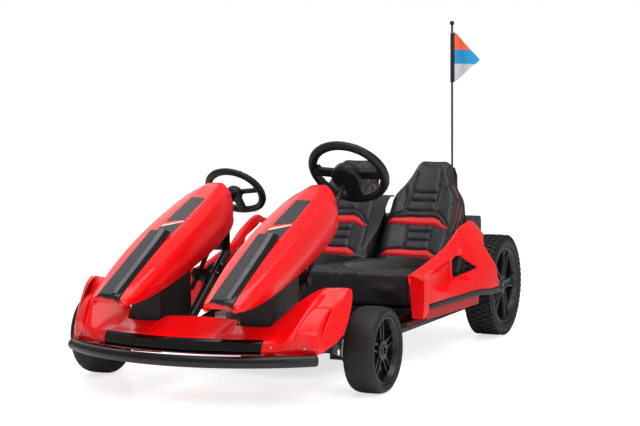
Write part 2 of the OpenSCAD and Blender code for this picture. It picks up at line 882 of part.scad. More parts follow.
// Outline of one broad spoke as [distance from the axle, half width], less a margin all round
function rear_spoke_half(margin) =
    let (w = rear_spoke_w / 2)
    [[16 + 5 * margin, w + 5 - margin], [33 + 1.5 * margin, w + 5 - margin], [40 + margin, w + 1.5 - margin],
        [52, w - margin], [78, w - margin], [86, w + 1 - margin],
        [rear_rim_d / 2 - 11 - 2.5 * margin, w + 4 - margin]];

module rear_spoke(margin, h) {
    half = rear_spoke_half(margin);
    n = len(half);
    linear_extrude(height = h)
        polygon(concat([for (p = half) [p[0], p[1]]], [for (k = [n - 1:-1:0]) [half[k][0], -half[k][1]]]));
}

// Rim with broad spokes that are hollowed between two raised edges
module rear_rim() {
    face = rear_tyre_w / 2 - 12;
    difference() {
        union() {
            rim_barrel(rear_rim_d, rear_tyre_w, rim_bead, 10);
            rim_hub(rear_tyre_w, 42, 64, face);
            for (k = [0:rear_spokes - 1])
                rotate([k * 360 / rear_spokes, 0, 0])
                    translate([face - spoke_t, 0, 0])
                        rotate([90, 0, 90])
                            difference() {
                                rear_spoke(0, spoke_t);
                                translate([0, 0, spoke_t - 5])
                                    rear_spoke(4.5, 6);
                            }
        }
        rim_bore(rear_tyre_w);
    }
}

rim_bead = 5;

module front_left_tyre() {
    color(black)
        translate([front_track / 2, 0, front_axle_z])
            tyre(front_tyre_d, front_tyre_w, front_rim_d, rim_bead);
}

module front_left_rim() {
    color(dark)
        translate([front_track / 2, 0, front_axle_z])
            front_rim();
}

module front_right_tyre() mirror([1, 0, 0]) front_left_tyre();

module front_right_rim() mirror([1, 0, 0]) front_left_rim();

module rear_left_tyre() {
    color(black)
        translate([rear_track / 2, wheelbase, rear_axle_z])
            tyre(rear_tyre_d, rear_tyre_w, rear_rim_d, rim_bead);
}

module rear_left_rim() {
    color(dark)
        translate([rear_track / 2, wheelbase, rear_axle_z])
            rear_rim();
}

module rear_right_tyre() mirror([1, 0, 0]) rear_left_tyre();

module rear_right_rim() mirror([1, 0, 0]) rear_left_rim();

// Steering

knuckle_h = yoke_gap - 1;
arm_t = 6;
arm_z = front_axle_z + knuckle_h / 2 - arm_t;
stub_end = front_track / 2 + front_tyre_w / 2 - 14;

// Kingpin barrel with its stub axle and steering arm
module knuckle() {
    color(dark) {
        translate([kingpin_x, 0, front_axle_z - knuckle_h / 2])
            cylinder(h = knuckle_h, d = 22);
        translate([kingpin_x, 0, front_axle_z - yoke_gap / 2 - yoke_t - 4])
            cylinder(h = yoke_gap + 2 * yoke_t + 8, d = kingpin_d);
        bar([kingpin_x, 0, front_axle_z], [stub_end, 0, front_axle_z], axle_d);
        bar([kingpin_x, 0, front_axle_z],
            [front_track / 2 - front_tyre_w / 2 + 7 - side_play, 0, front_axle_z], axle_d + 8);
        translate([kingpin_x - 7, 0, arm_z])
            cube([14, steer_arm, arm_t]);
        translate([kingpin_x, steer_arm, arm_z])
            cylinder(h = arm_t, d = 20);
        translate([kingpin_x, steer_arm, arm_z])
            cylinder(h = arm_t + 14, d = 8);
    }
}

module left_knuckle() knuckle();

module right_knuckle() mirror([1, 0, 0]) knuckle();

tie_z = arm_z + arm_t + 7;
fork_gap = crank_ball_d + 2;
crank_foot_y = steer_arm - crank_r * sin(column_slope);
crank_end = column_at(crank_foot_y) + crank_r * [0, sin(column_slope), -cos(column_slope)];

// Rod between the two steering arms, with a fork that the crank's ball works in
module tie_rod() {
    color(dark)
        difference() {
            union() {
                bar([-kingpin_x, steer_arm, tie_z], [kingpin_x, steer_arm, tie_z], 10);
                both_sides()
                    translate([kingpin_x, steer_arm, tie_z - 6])
                        cylinder(h = 12, d = 20);
                for (side = [-1, 1])
                    translate([column_x + side * (fork_gap / 2 + 2) - 2, steer_arm - 9, tie_z - 4])
                        cube([4, 18, crank_end[2] - tie_z + 10]);
            }
            both_sides()
                translate([kingpin_x, steer_arm, tie_z - 10])
                    cylinder(h = 20, d = 8 + 2 * running_play);
        }
}

wheel_grip_driver = 25;
wheel_grip_second = 20;

module driver_column() {
    shaft_len = (driver_wheel_y - crank_foot_y) / cos(column_slope);
    color("gray")
        on_column(crank_foot_y) {
            translate([0, 0, -5])
                cylinder(h = shaft_len - 23, d = column_d);
            translate([-4, 0, -4])
                cube([8, crank_r - 14, 8]);
            rotate([-90, 0, 0])
                cylinder(h = crank_r - 2, d = 6);
            translate([0, crank_r, 0])
                sphere(d = crank_ball_d);
        }
}

// A steering wheel with three spokes in the plane z = 0
module steering_wheel(d, grip, hub_d, hub_h) {
    r = d / 2 - grip / 2;
    rotate_extrude($fn = 72)
        translate([r, 0])
            circle(d = grip, $fn = 20);
    translate([0, 0, -hub_h])
        cylinder(h = hub_h + 6, d = hub_d);
    for (a = [0, 90, 180])
        rotate([0, 0, a])
            translate([hub_d / 2 - 6, -grip / 2, -5])
                cube([r - hub_d / 2 + 6, grip, 8]);
}

module driver_steering_wheel() {
    color(black)
        on_column(driver_wheel_y)
            steering_wheel(driver_wheel_d, wheel_grip_driver, 70, 28);
}

module second_steering_wheel() {
    drop = second_wheel_set * cos(column_slope);
    mirror([1, 0, 0])
        color(black) {
            on_column(driver_wheel_y - drop)
                steering_wheel(second_wheel_d, wheel_grip_second, 46, 20);
            bar(column_at(60), column_at(driver_wheel_y - drop - 6), column_d);
        }
}

place() left_rail();
place() right_rail();
place() front_beam();
place() cross_tubes();
place() floor_pan();
place() front_bumper();
place() bumper_arms();
place() front_fairing();
place() fairing_trim();
place() driver_nose();
place() second_nose();
place() nose_strips();
place() nose_pedestals();
place() driver_support();
place() second_support();
place() pedal();
place() left_pod();
place() right_pod();
place() pod_grilles();
place() pod_stripes();
place() pod_sills();
place() seat_bench();
place() seat_box();
place() driver_seat();
place() second_seat();
place() seat_shells();
place() lap_belts();
place() rear_cover();
place() battery();
place() motors();
place() rear_axle();
place() flag_mast();
place() flag();
place() left_knuckle();
place() right_knuckle();
place() front_left_tyre();
place() front_left_rim();
place() front_right_tyre();
place() front_right_rim();
place() rear_left_tyre();
place() rear_left_rim();
place() rear_right_tyre();
place() rear_right_rim();
place() tie_rod();
place() driver_column();
place() driver_steering_wheel();
place() second_steering_wheel();
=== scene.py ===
import json
import math
import bpy
import numpy as np
from mathutils import Matrix, Vector


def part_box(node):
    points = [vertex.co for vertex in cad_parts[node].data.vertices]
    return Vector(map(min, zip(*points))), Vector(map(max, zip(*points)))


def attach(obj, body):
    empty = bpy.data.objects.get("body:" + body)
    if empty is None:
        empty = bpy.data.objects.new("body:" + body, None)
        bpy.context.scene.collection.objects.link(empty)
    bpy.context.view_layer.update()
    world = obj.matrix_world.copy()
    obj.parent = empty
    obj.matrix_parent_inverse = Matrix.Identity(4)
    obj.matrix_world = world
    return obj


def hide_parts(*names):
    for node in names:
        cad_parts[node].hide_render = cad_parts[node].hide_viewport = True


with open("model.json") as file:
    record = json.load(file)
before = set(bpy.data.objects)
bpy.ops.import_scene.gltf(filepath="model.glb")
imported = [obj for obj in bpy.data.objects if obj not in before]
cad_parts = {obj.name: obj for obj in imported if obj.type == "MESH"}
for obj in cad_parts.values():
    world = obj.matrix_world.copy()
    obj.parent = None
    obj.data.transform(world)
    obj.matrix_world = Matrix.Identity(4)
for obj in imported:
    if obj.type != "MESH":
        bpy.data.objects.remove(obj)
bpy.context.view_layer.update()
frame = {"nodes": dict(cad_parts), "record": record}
nodes = frame["nodes"]
record = frame["record"]

# Everything below is written in millimetres, lengthwise from the front axle, as the kart is drawn
mm = 0.001
tyreLow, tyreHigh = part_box("front_left_tyre")
frontAxleY = (tyreLow[1] + tyreHigh[1]) / 2
tyreLow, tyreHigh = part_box("rear_left_tyre")
rearAxleY = (tyreLow[1] + tyreHigh[1]) / 2
wheelbase = (rearAxleY - frontAxleY) / mm


def at(x, y, z):
    return Vector((x * mm, y * mm + frontAxleY, z * mm))


def deselectAll():
    if bpy.context.object and bpy.context.object.mode != "OBJECT":
        bpy.ops.object.mode_set(mode="OBJECT")
    bpy.ops.object.select_all(action="DESELECT")


def pick(piece):
    deselectAll()
    piece.select_set(True)
    bpy.context.view_layer.objects.active = piece


deselectAll()

# Camera, at the place from which the kart is seen
cameraSet = {"azimuth": 24.517, "elevation": 4.629, "roll": -0.38, "focalPixels": 1701.0,
             "place": (1926.88, -3702.66, 756.23), "imageWidth": 640, "sensor": 36.0}


def setCamera(values):
    bpy.ops.object.camera_add(location=at(*values["place"]))
    camera = bpy.context.object
    camera.name = "viewCamera"
    camera.data.sensor_width = values["sensor"]
    camera.data.lens = values["focalPixels"] / values["imageWidth"] * values["sensor"]
    camera.data.clip_end = 60
    turn = Matrix.Rotation(math.radians(values["azimuth"]), 3, "Z")
    tilt = Matrix.Rotation(math.radians(90 - values["elevation"]), 3, "X")
    roll = Matrix.Rotation(math.radians(values["roll"]), 3, "Z")
    camera.rotation_euler = (turn @ tilt @ roll).to_euler()
    bpy.context.scene.camera = camera


setCamera(cameraSet)
print("camera set")

# Material tools


def hexColour(text):
    # sRGB hex to the linear values that the shader takes
    parts = [int(text[k:k + 2], 16) / 255 for k in (0, 2, 4)]
    return tuple(c / 12.92 if c <= 0.04045 else ((c + 0.055) / 1.055) ** 2.4 for c in parts) + (1,)


def addNode(tree, kind, values=None, links=None, **settings):
    # One node with its settings, its socket values, and what feeds its sockets
    node = tree.nodes.new("ShaderNode" + kind)
    for name, value in settings.items():
        setattr(node, name, value)
    for socket, value in (values or {}).items():
        node.inputs[socket].default_value = value
    for socket, source in (links or {}).items():
        tree.links.new(source, node.inputs[socket])
    return node


def newMaterial(name, **values):
    # A material with one Principled shader, and the point in millimetres that its patterns use
    material = bpy.data.materials.new(name)
    material.use_nodes = True
    tree = material.node_tree
    shader = tree.nodes["Principled BSDF"]
    for socket, value in values.items():
        shader.inputs[socket.replace("_", " ")].default_value = value
    place = addNode(tree, "TexCoord").outputs["Object"]
    point = addNode(tree, "VectorMath", {1: (1000, 1000, 1000)}, {0: place}, operation="MULTIPLY").outputs[0]
    return material, tree, shader, point


def noiseAt(tree, point, size, detail=2.0):
    # Noise whose lumps are about size millimetres across
    return addNode(tree, "TexNoise", {"Scale": 1 / size, "Detail": detail}, {"Vector": point}).outputs["Fac"]


def spread(tree, value, low, high, fromLow=0.3, fromHigh=0.7):
    return addNode(tree, "MapRange", {1: fromLow, 2: fromHigh, 3: low, 4: high}, {0: value}).outputs[0]


def bumped(tree, shader, height, depth, strength=1.0, normal=None):
    # Bump of depth millimetres from a height between 0 and 1
    links = {"Height": height}
    if normal:
        links["Normal"] = normal
    bump = addNode(tree, "Bump", {"Strength": strength, "Distance": depth * mm}, links).outputs[0]
    tree.links.new(bump, shader.inputs["Normal"])
    return bump


def shaded(tree, shader, colour, other, factor):
    # Base colour between two hex values
    mix = addNode(tree, "Mix", {6: hexColour(colour), 7: hexColour(other)}, {0: factor}, data_type="RGBA")
    tree.links.new(mix.outputs[2], shader.inputs["Base Color"])
    return mix.outputs[2]


def mouldedRed():
    # Injection-moulded ABS with a glossy skin: clear highlights with a faint orange peel
    material, tree, shader, point = newMaterial("mouldedRedAbs", IOR=1.5)
    flow = noiseAt(tree, point, 90)
    shaded(tree, shader, "F6040C", "FA0A10", spread(tree, flow, 0, 1))
    tree.links.new(spread(tree, noiseAt(tree, point, 40), 0.2, 0.25), shader.inputs["Roughness"])
    bumped(tree, shader, noiseAt(tree, point, 14), 0.02)
    return material


def makeSillRedPaintedShade():
    # The same ABS with a coarse matt grain; its base colour is painted darker red, as painted shade under the pod
    material, tree, shader, point = newMaterial("paintedShadeGrainedRedAbs", IOR=1.5)
    shaded(tree, shader, "A81218", "BC1A1E", spread(tree, noiseAt(tree, point, 30), 0, 1))
    tree.links.new(spread(tree, noiseAt(tree, point, 5), 0.42, 0.55), shader.inputs["Roughness"])
    bumped(tree, shader, noiseAt(tree, point, 1.2), 0.08)
    return material


def mouldedBlack():
    # Injection-moulded polypropylene with a spark-eroded satin grain
    material, tree, shader, point = newMaterial("mouldedBlackPp", IOR=1.49)
    shaded(tree, shader, "0F0F11", "161619", spread(tree, noiseAt(tree, point, 40), 0, 1))
    tree.links.new(spread(tree, noiseAt(tree, point, 6), 0.38, 0.5), shader.inputs["Roughness"])
    bumped(tree, shader, noiseAt(tree, point, 1.1), 0.06)
    return material


def pianoBlack():
    # Polished black ABS
    material, tree, shader, point = newMaterial("polishedBlackAbs", IOR=1.52)
    shaded(tree, shader, "060607", "0A0A0B", spread(tree, noiseAt(tree, point, 40), 0, 1))
    tree.links.new(spread(tree, noiseAt(tree, point, 12), 0.1, 0.18), shader.inputs["Roughness"])
    bumped(tree, shader, noiseAt(tree, point, 4), 0.015)
    return material


def insertGrey(name, low, high, rough):
    # Moulded insert along the noses, grey with a fine grain
    material, tree, shader, point = newMaterial(name, IOR=1.5)
    shaded(tree, shader, low, high, spread(tree, noiseAt(tree, point, 25), 0, 1))
    tree.links.new(spread(tree, noiseAt(tree, point, 5), rough, rough + 0.1), shader.inputs["Roughness"])
    bumped(tree, shader, noiseAt(tree, point, 1.1), 0.05)
    return material


def powderBlack():
    # Powder-coated steel tube: satin black with the peel that baking leaves
    material, tree, shader, point = newMaterial("powderCoatedSteel", IOR=1.5)
    shaded(tree, shader, "0D0D0E", "131315", spread(tree, noiseAt(tree, point, 50), 0, 1))
    tree.links.new(spread(tree, noiseAt(tree, point, 8), 0.26, 0.38), shader.inputs["Roughness"])
    bumped(tree, shader, noiseAt(tree, point, 2), 0.05)
    return material


def tyreCompound():
    # Moulded EVA and rubber tyre: matt, a little dusty on the tread
    material, tree, shader, point = newMaterial("tyreCompound", IOR=1.52)
    shaded(tree, shader, "111112", "1B1B1C", spread(tree, noiseAt(tree, point, 14), 0, 1))
    tree.links.new(spread(tree, noiseAt(tree, point, 4), 0.5, 0.66), shader.inputs["Roughness"])
    bumped(tree, shader, noiseAt(tree, point, 1.3, 4), 0.12)
    return material


def rimBlack():
    # Moulded nylon rim with a satin sheen
    material, tree, shader, point = newMaterial("satinBlackNylon", IOR=1.53)
    shaded(tree, shader, "101012", "17171A", spread(tree, noiseAt(tree, point, 30), 0, 1))
    tree.links.new(spread(tree, noiseAt(tree, point, 7), 0.24, 0.36), shader.inputs["Roughness"])
    bumped(tree, shader, noiseAt(tree, point, 1.5), 0.03)
    return material


def gripFoam():
    # Soft polyurethane of the steering wheels, with a fine leather grain
    material, tree, shader, point = newMaterial("grainedPolyurethane", IOR=1.48)
    cells = addNode(tree, "TexVoronoi", {"Scale": 1 / 1.6}, {"Vector": point}, feature="SMOOTH_F1").outputs[0]
    shaded(tree, shader, "0E0E0F", "151517", spread(tree, noiseAt(tree, point, 20), 0, 1))
    tree.links.new(spread(tree, noiseAt(tree, point, 5), 0.4, 0.52), shader.inputs["Roughness"])
    bumped(tree, shader, cells, 0.12)
    return material


def zincPlated():
    # Bright zinc-plated steel with the faint cloud of the bath
    material, tree, shader, point = newMaterial("zincPlatedSteel", Metallic=1.0)
    shaded(tree, shader, "A9ABAE", "C4C6C8", spread(tree, noiseAt(tree, point, 10), 0, 1))
    tree.links.new(spread(tree, noiseAt(tree, point, 3), 0.26, 0.42), shader.inputs["Roughness"])
    bumped(tree, shader, noiseAt(tree, point, 0.9), 0.02)
    return material


def gearCase():
    # Glass-filled nylon gearbox shells, grey-black and matt
    material, tree, shader, point = newMaterial("glassFilledNylon", IOR=1.53)
    shaded(tree, shader, "1A1A1C", "242427", spread(tree, noiseAt(tree, point, 18), 0, 1))
    tree.links.new(spread(tree, noiseAt(tree, point, 3), 0.5, 0.65), shader.inputs["Roughness"])
    bumped(tree, shader, noiseAt(tree, point, 1, 4), 0.08)
    return material


def beltWeave():
    # Polyester webbing: a tight twill with ribs 1.6 mm apart
    material, tree, shader, point = newMaterial("polyesterWebbing", IOR=1.5)
    across = addNode(tree, "TexWave", {"Scale": 1 / 1.6 / 3.2, "Distortion": 0.4}, {"Vector": point},
                     bands_direction="DIAGONAL").outputs["Fac"]
    shaded(tree, shader, "08080A", "1C1C1F", across)
    shader.inputs["Roughness"].default_value = 0.7
    shader.inputs["Sheen Weight"].default_value = 0.2
    bumped(tree, shader, across, 0.25)
    return material


def seatVinyl(name="leatherette"):
    # Embossed PVC leatherette: a pebble grain of about 1.5 mm on a soft backing
    material, tree, shader, point = newMaterial(name, IOR=1.5)
    grain = addNode(tree, "TexVoronoi", {"Scale": 1 / 1.5}, {"Vector": point}, feature="SMOOTH_F1").outputs[0]
    shaded(tree, shader, "1B1B1E", "27272B", spread(tree, noiseAt(tree, point, 45), 0, 1))
    tree.links.new(spread(tree, noiseAt(tree, point, 8), 0.38, 0.5), shader.inputs["Roughness"])
    bumped(tree, shader, grain, 0.1)
    return material


materials = {"red_plastic": mouldedRed(), "black_plastic": mouldedBlack(), "gloss_black": pianoBlack(),
             "painted_steel": powderBlack(), "tyre_rubber": tyreCompound(), "rim_plastic": rimBlack(),
             "leatherette": seatVinyl(), "webbing": beltWeave(), "zinc_steel": zincPlated(),
             "wheel_grip": gripFoam(), "motor_case": gearCase(), "flag_cloth": beltWeave()}
# Red with painted shade, for the sills under the pods
paintedShadeSillRed = makeSillRedPaintedShade()
greyInsert = insertGrey("satinGreyAbs", "2E2E31", "37373B", 0.4)
# Lighter grey for the bevel facet beside the ridge: a painted highlight
paintedHighlightRidgeGrey = insertGrey("paintedHighlightGreyAbs", "5C5C61", "6A6A6F", 0.2)
print("materials made")


# The carried-over nodes take the finish of their slot
for part in record["subparts"]:
    node = nodes[part["node"]]
    node.data.materials.clear()
    node.data.materials.append(materials[part["material_slot"]])
# The sill node gets the red with painted shade
for name in ("pod_sills",):
    nodes[name].data.materials[0] = paintedShadeSillRed

# Modelling tools


def gridSheet(name, rows, creaseRows=None, creaseColumns=None):
    # A grid primitive whose points are set in place, with creases along its rows and columns
    across = len(rows[0])
    deselectAll()
    bpy.ops.mesh.primitive_grid_add(x_subdivisions=across - 1, y_subdivisions=len(rows) - 1, size=1)
    sheet = bpy.context.object
    sheet.name = name
    for i, row in enumerate(rows):
        for j, point in enumerate(row):
            sheet.data.vertices[i * across + j].co = point
    crease = sheet.data.attributes.new("crease_edge", "FLOAT", "EDGE")
    for edge in sheet.data.edges:
        first, second = sorted(edge.vertices)
        if second - first == 1:
            crease.data[edge.index].value = (creaseRows or {}).get(first // across, 0)
        else:
            crease.data[edge.index].value = (creaseColumns or {}).get(first % across, 0)
    return sheet


def worked(piece, kind, **settings):
    # One modifier, applied
    pick(piece)
    modifier = piece.modifiers.new(kind.lower(), kind)
    for name, value in settings.items():
        setattr(modifier, name, value)
    bpy.ops.object.modifier_apply(modifier=modifier.name)
    return piece


def smoothed(piece, levels):
    return worked(piece, "SUBSURF", levels=levels, render_levels=levels)


def walled(piece, wall):
    return worked(piece, "SOLIDIFY", thickness=wall * mm, offset=-1, use_rim=True)


def softEdged(piece, width, segments=2, angle=35):
    return worked(piece, "BEVEL", width=width * mm, segments=segments, limit_method="ANGLE",
                  angle_limit=math.radians(angle), harden_normals=False)


def merged(piece, distance=0.02):
    pick(piece)
    bpy.ops.object.mode_set(mode="EDIT")
    bpy.ops.mesh.select_all(action="SELECT")
    bpy.ops.mesh.remove_doubles(threshold=distance * mm)
    bpy.ops.mesh.normals_make_consistent(inside=False)
    bpy.ops.object.mode_set(mode="OBJECT")
    return piece


def joined(name, pieces):
    deselectAll()
    for piece in pieces:
        piece.select_set(True)
    bpy.context.view_layer.objects.active = pieces[0]
    bpy.ops.object.join()
    pieces[0].name = name
    return pieces[0]


def copied(piece, name, matrix):
    # A copy with its own mesh, moved by a matrix; a mirror turns its faces back out
    twin = piece.copy()
    twin.data = piece.data.copy()
    twin.name = name
    bpy.context.scene.collection.objects.link(twin)
    twin.data.transform(matrix)
    if matrix.determinant() < 0:
        twin.data.flip_normals()
    return twin


acrossKart = Matrix.Scale(-1, 4, (1, 0, 0))


def lathe(name, profile, steps, centre, side=1):
    # A profile of (radius, distance outwards) turned about an axle through centre, along X
    rows = []
    for k in range(steps + 1):
        turn = 2 * math.pi * k / steps
        rows.append([at(centre[0] + side * out, centre[1] + r * math.cos(turn), centre[2] + r * math.sin(turn))
                     for r, out in profile])
    return merged(gridSheet(name, rows))


def boxed(name, size, centre, axes=None, edge=1.5, taper=1.0):
    # A block with rounded edges, its top drawn in by taper; axes are its own X, Y and Z
    deselectAll()
    bpy.ops.mesh.primitive_cube_add(size=1, location=(0, 0, 0))
    block = bpy.context.object
    block.name = name
    for vertex in block.data.vertices:
        scale = taper if vertex.co.z > 0 else 1
        vertex.co = Vector((vertex.co.x * size[0] * scale, vertex.co.y * size[1] * scale, vertex.co.z * size[2]))
    softEdged(block, edge / mm * mm, 3)
    turn = Matrix(axes).transposed().to_4x4() if axes else Matrix.Identity(4)
    block.data.transform(Matrix.Translation(at(*centre)) @ Matrix.Scale(mm, 4) @ turn)
    return block


def rod(name, start, end, radius, sides=24, edge=0.8, endRadius=None):
    # A round bar between two points, with its ends eased
    start, end = at(*start), at(*end)
    axis = end - start
    deselectAll()
    bpy.ops.mesh.primitive_cone_add(vertices=sides, radius1=radius * mm,
                                    radius2=(endRadius or radius) * mm, depth=axis.length, end_fill_type="NGON")
    bar = bpy.context.object
    bar.name = name
    softEdged(bar, edge, 2, 50)
    bar.data.transform(Matrix.Translation((start + end) / 2) @ axis.to_track_quat("Z", "Y").to_matrix().to_4x4())
    return bar


def prism(name, corners, lowX, highX):
    rows = [[at(x, y, z) for y, z in corners + corners[:1]] for x in (lowX, highX)]
    body = merged(gridSheet(name, rows))
    pick(body)
    bpy.ops.object.mode_set(mode="EDIT")
    bpy.ops.mesh.select_all(action="DESELECT")
    bpy.ops.mesh.select_non_manifold()
    bpy.ops.mesh.edge_face_add()
    bpy.ops.mesh.select_all(action="SELECT")
    bpy.ops.mesh.normals_make_consistent(inside=False)
    bpy.ops.object.mode_set(mode="OBJECT")
    return body


def finished(piece, material, body, replaced=(), angle=35):
    piece.data.materials.clear()
    piece.data.materials.append(material)
    pick(piece)
    bpy.ops.object.shade_smooth_by_angle(angle=math.radians(angle))
    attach(piece, body)
    if replaced:
        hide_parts(*replaced)
    return piece


def between(table, y, column):
    # A value of a table at the place y, straight between its rows
    for low, high in zip(table, table[1:]):
        if y <= high[0]:
            break
    share = (y - low[0]) / (high[0] - low[0])
    return low[column] + share * (high[column] - low[column])


# Noses, each a moulded shell on a housing
noseSet = {
    "x": 148, "wall": 3.2,
    # y, top z, top half, crease half, crease z, widest half, widest z, lower half, lower z
    "rows": [(-345, 251, 26, 33, 246, 42, 238, 42, 228),
             (-337, 255, 28, 38, 249, 49, 240, 48, 227),
             (-310, 267, 32, 45, 262, 57, 246, 53, 229),
             (-260, 291, 34, 55, 287, 65, 258, 57, 234),
             (-180, 329, 36, 62, 325, 71, 278, 61, 250),
             (-80, 374, 37, 66, 369, 75, 312, 62, 275),
             (20, 415, 35, 64, 408, 73, 348, 60, 302),
             (110, 451, 30, 57, 443, 67, 380, 55, 328),
             (160, 472, 24, 49, 461, 60, 400, 50, 347),
             (190, 481, 21, 39, 464, 53, 412, 46, 359),
             (200, 480, 19, 36, 463, 49, 413, 43, 362)]}


def noseRing(row):
    y, topZ, top, crease, creaseZ, wide, wideZ, low, lowZ = row
    half = [(0, topZ), (top, topZ), (crease, creaseZ), ((crease + wide) / 2 + 3, (creaseZ + wideZ) / 2 + 1),
            (wide, wideZ), ((wide + low) / 2 + 2, (wideZ + lowZ) / 2 - 2), (low, lowZ), (low - 8, lowZ + 3)]
    return [(-x, y, z) for x, z in half[:0:-1]] + [(x, y, z) for x, z in half]


def curtain(ring, y, share, foot, narrow):
    # The ring drawn down towards a level line, for a blunt end
    return [(x * narrow, y, foot + (z - foot) * share) for x, _, z in ring]


def makeNose(values):
    rings = [noseRing(row) for row in values["rows"]]
    front, rear = rings[0], rings[-1]
    ends = [curtain(front, -341, 0.1, 230, 0.9), curtain(front, -346, 0.5, 229, 0.94),
            curtain(front, -347, 0.9, 228, 0.96)]
    tail = [curtain(rear, 202, 0.92, 364, 0.96), curtain(rear, 202, 0.5, 366, 0.94),
            curtain(rear, 198, 0.1, 367, 0.9)]
    rows = [[at(values["x"] + x, y, z) for x, y, z in ring] for ring in ends + rings + tail]
    nose = gridSheet("driverNoseShell", rows, {2: 0.5, 13: 0.8}, {1: 0.8, 13: 0.8, 3: 0.4, 11: 0.4, 5: 0.6, 9: 0.6, 6: 0.4, 8: 0.4})
    smoothed(nose, 2)
    walled(nose, values["wall"])
    return softEdged(nose, 0.6, 2, 45)


driverNose = makeNose(noseSet)
besideDriver = Matrix.Translation((-2 * noseSet["x"] * mm, 0, 0))
secondNose = copied(driverNose, "secondNoseShell", besideDriver)

# Satin insert along each nose: flat on one side, a polished bevel on the other, with a painted highlight in lighter
# grey on the bevel facet beside the ridge
insertSet = {"half": 31, "frontShift": 4, "rearShift": -8, "rearLeft": -71, "rearRight": -92, "rise": 2.4, "ridgeRise": 6.0, "ys": 9}


def insertRow(y, shift, drop=0, narrow=1.0, slant=0):
    # Points across the insert at a place; shift moves the ridge across
    half = insertSet["half"] * narrow
    ridge = shift
    shape = [(-half, -2.5), (-half + 0.6, insertSet["rise"]), (ridge - 1.5, insertSet["rise"] + 0.3),
             (ridge, insertSet["ridgeRise"]), (ridge + 0.45 * (half - ridge), insertSet["ridgeRise"] - 0.8),
             (half - 0.6, insertSet["rise"] - 0.8), (half, -2.5)]
    z = between(noseSet["rows"], max(y, -345), 1) - drop
    share = (y + 345) / (345 + insertSet["rearLeft"])
    skew = insertSet["frontShift"] + share * (insertSet["rearShift"] - insertSet["frontShift"])
    return [(noseSet["x"] + x + skew, y, z + rise + slant * (x + half) / (2 * half)) for x, rise in shape]


def makeInsert():
    rows = [insertRow(-349.3, 8, 4, 0.9, -13), insertRow(-349.6, 8, 3.5, 0.95, -3), insertRow(-345, 8, 1.2)]
    count = insertSet["ys"]
    for k in range(1, count + 1):
        share = k / count
        row = insertRow(-345 + share * (345 + insertSet["rearLeft"]), 8 - 7 * share)
        # The rear end is cut at a slant
        row = [(x, y + share ** 6 * (insertSet["rearRight"] - insertSet["rearLeft"]) * (j / 6), z)
               for j, (x, y, z) in enumerate(row)]
        rows.append(row)
    rear = [(x, y + 1.5, z - 5) for x, y, z in rows[-1]]
    points = [[at(*p) for p in row] for row in rows + [rear]]
    columns = {1: 0.9, 2: 0.9, 3: 0.9, 5: 0.9}
    sheet = gridSheet("driverNoseInsert", points, {len(points) - 2: 0.9, 1: 0.7}, columns)
    sheet.data.materials.append(greyInsert)
    sheet.data.materials.append(materials["gloss_black"])
    sheet.data.materials.append(paintedHighlightRidgeGrey)
    # Grey on the flat side, gloss black on the bevel and the tip, and the lighter grey painted highlight on the facet
    # beside the ridge
    for face in sheet.data.polygons:
        row, column = divmod(face.index, 6)
        face.material_index = 1 if column > 3 or row < 2 else 2 if column == 3 else 0
    smoothed(sheet, 2)
    return walled(sheet, 1.6)


driverInsert = makeInsert()
secondInsert = copied(driverInsert, "secondNoseInsert", besideDriver)

# Printed panels and slanted accent lines behind the insert, laid on the nose
printSet = {"lift": 0.45,
            # name, finish, front left y, front right y, rear left y, rear right y, half widths
            "prints": [("lowerPrint", "dark", -80, -100, -53, -27, 24.5, 24.5),
                       ("paleAccent", "pale", -51, -25, -43.5, -20.5, 24.2, 24.2),
                       ("orangeAccent", "orange", -41.5, -19.5, -36, -16, 24.0, 24.0),
                       ("upperPrint", "dark", -27, -14, 103, 101, 24.0, 20.5)]}


def printedFilm(name, low, high, rough):
    # Printed vinyl film: even colour under a smooth laminate
    material, tree, shader, point = newMaterial(name, IOR=1.5)
    shaded(tree, shader, low, high, spread(tree, noiseAt(tree, point, 12), 0, 1))
    tree.links.new(spread(tree, noiseAt(tree, point, 4), rough, rough + 0.08), shader.inputs["Roughness"])
    bumped(tree, shader, noiseAt(tree, point, 2), 0.01)
    return material


filmColours = {"dark": printedFilm("darkFilm", "2B2B30", "34343A", 0.34),
               "pale": printedFilm("paleFilm", "D5E6F6", "F2F6FA", 0.3),
               "orange": printedFilm("orangeFilm", "F06A28", "F57A34", 0.3)}



def makePrint(name, frontLeft, frontRight, rearLeft, rearRight, frontHalf, rearHalf, nose):
    rows = []
    for i in range(13):
        v = i / 12
        left, right = frontLeft + v * (rearLeft - frontLeft), frontRight + v * (rearRight - frontRight)
        half = frontHalf + v * (rearHalf - frontHalf)
        rows.append([at(noseSet["x"] + half * (2 * u / 8 - 1), left + u / 8 * (right - left), 560) for u in range(9)])
    film = gridSheet(name, rows)
    worked(film, "SHRINKWRAP", target=nose, wrap_method="PROJECT", use_project_z=True,
           use_negative_direction=True, use_positive_direction=False, offset=printSet["lift"] * mm)
    return walled(film, 0.3)


for name, colour, *corners in printSet["prints"]:
    film = makePrint("driver" + name[0].upper() + name[1:], *corners, driverNose)
    second = copied(film, "second" + name[0].upper() + name[1:], besideDriver)
    for piece in (film, second):
        finished(piece, filmColours[colour], "chassis")
finished(driverNose, materials["red_plastic"], "chassis", ("driver_nose",), 50)
finished(secondNose, materials["red_plastic"], "chassis", ("second_nose",), 50)
for piece in (driverInsert, secondInsert):
    pick(piece)
    bpy.ops.object.shade_smooth_by_angle(angle=math.radians(28))
    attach(piece, "chassis")
    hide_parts("nose_strips")
print("noses made")

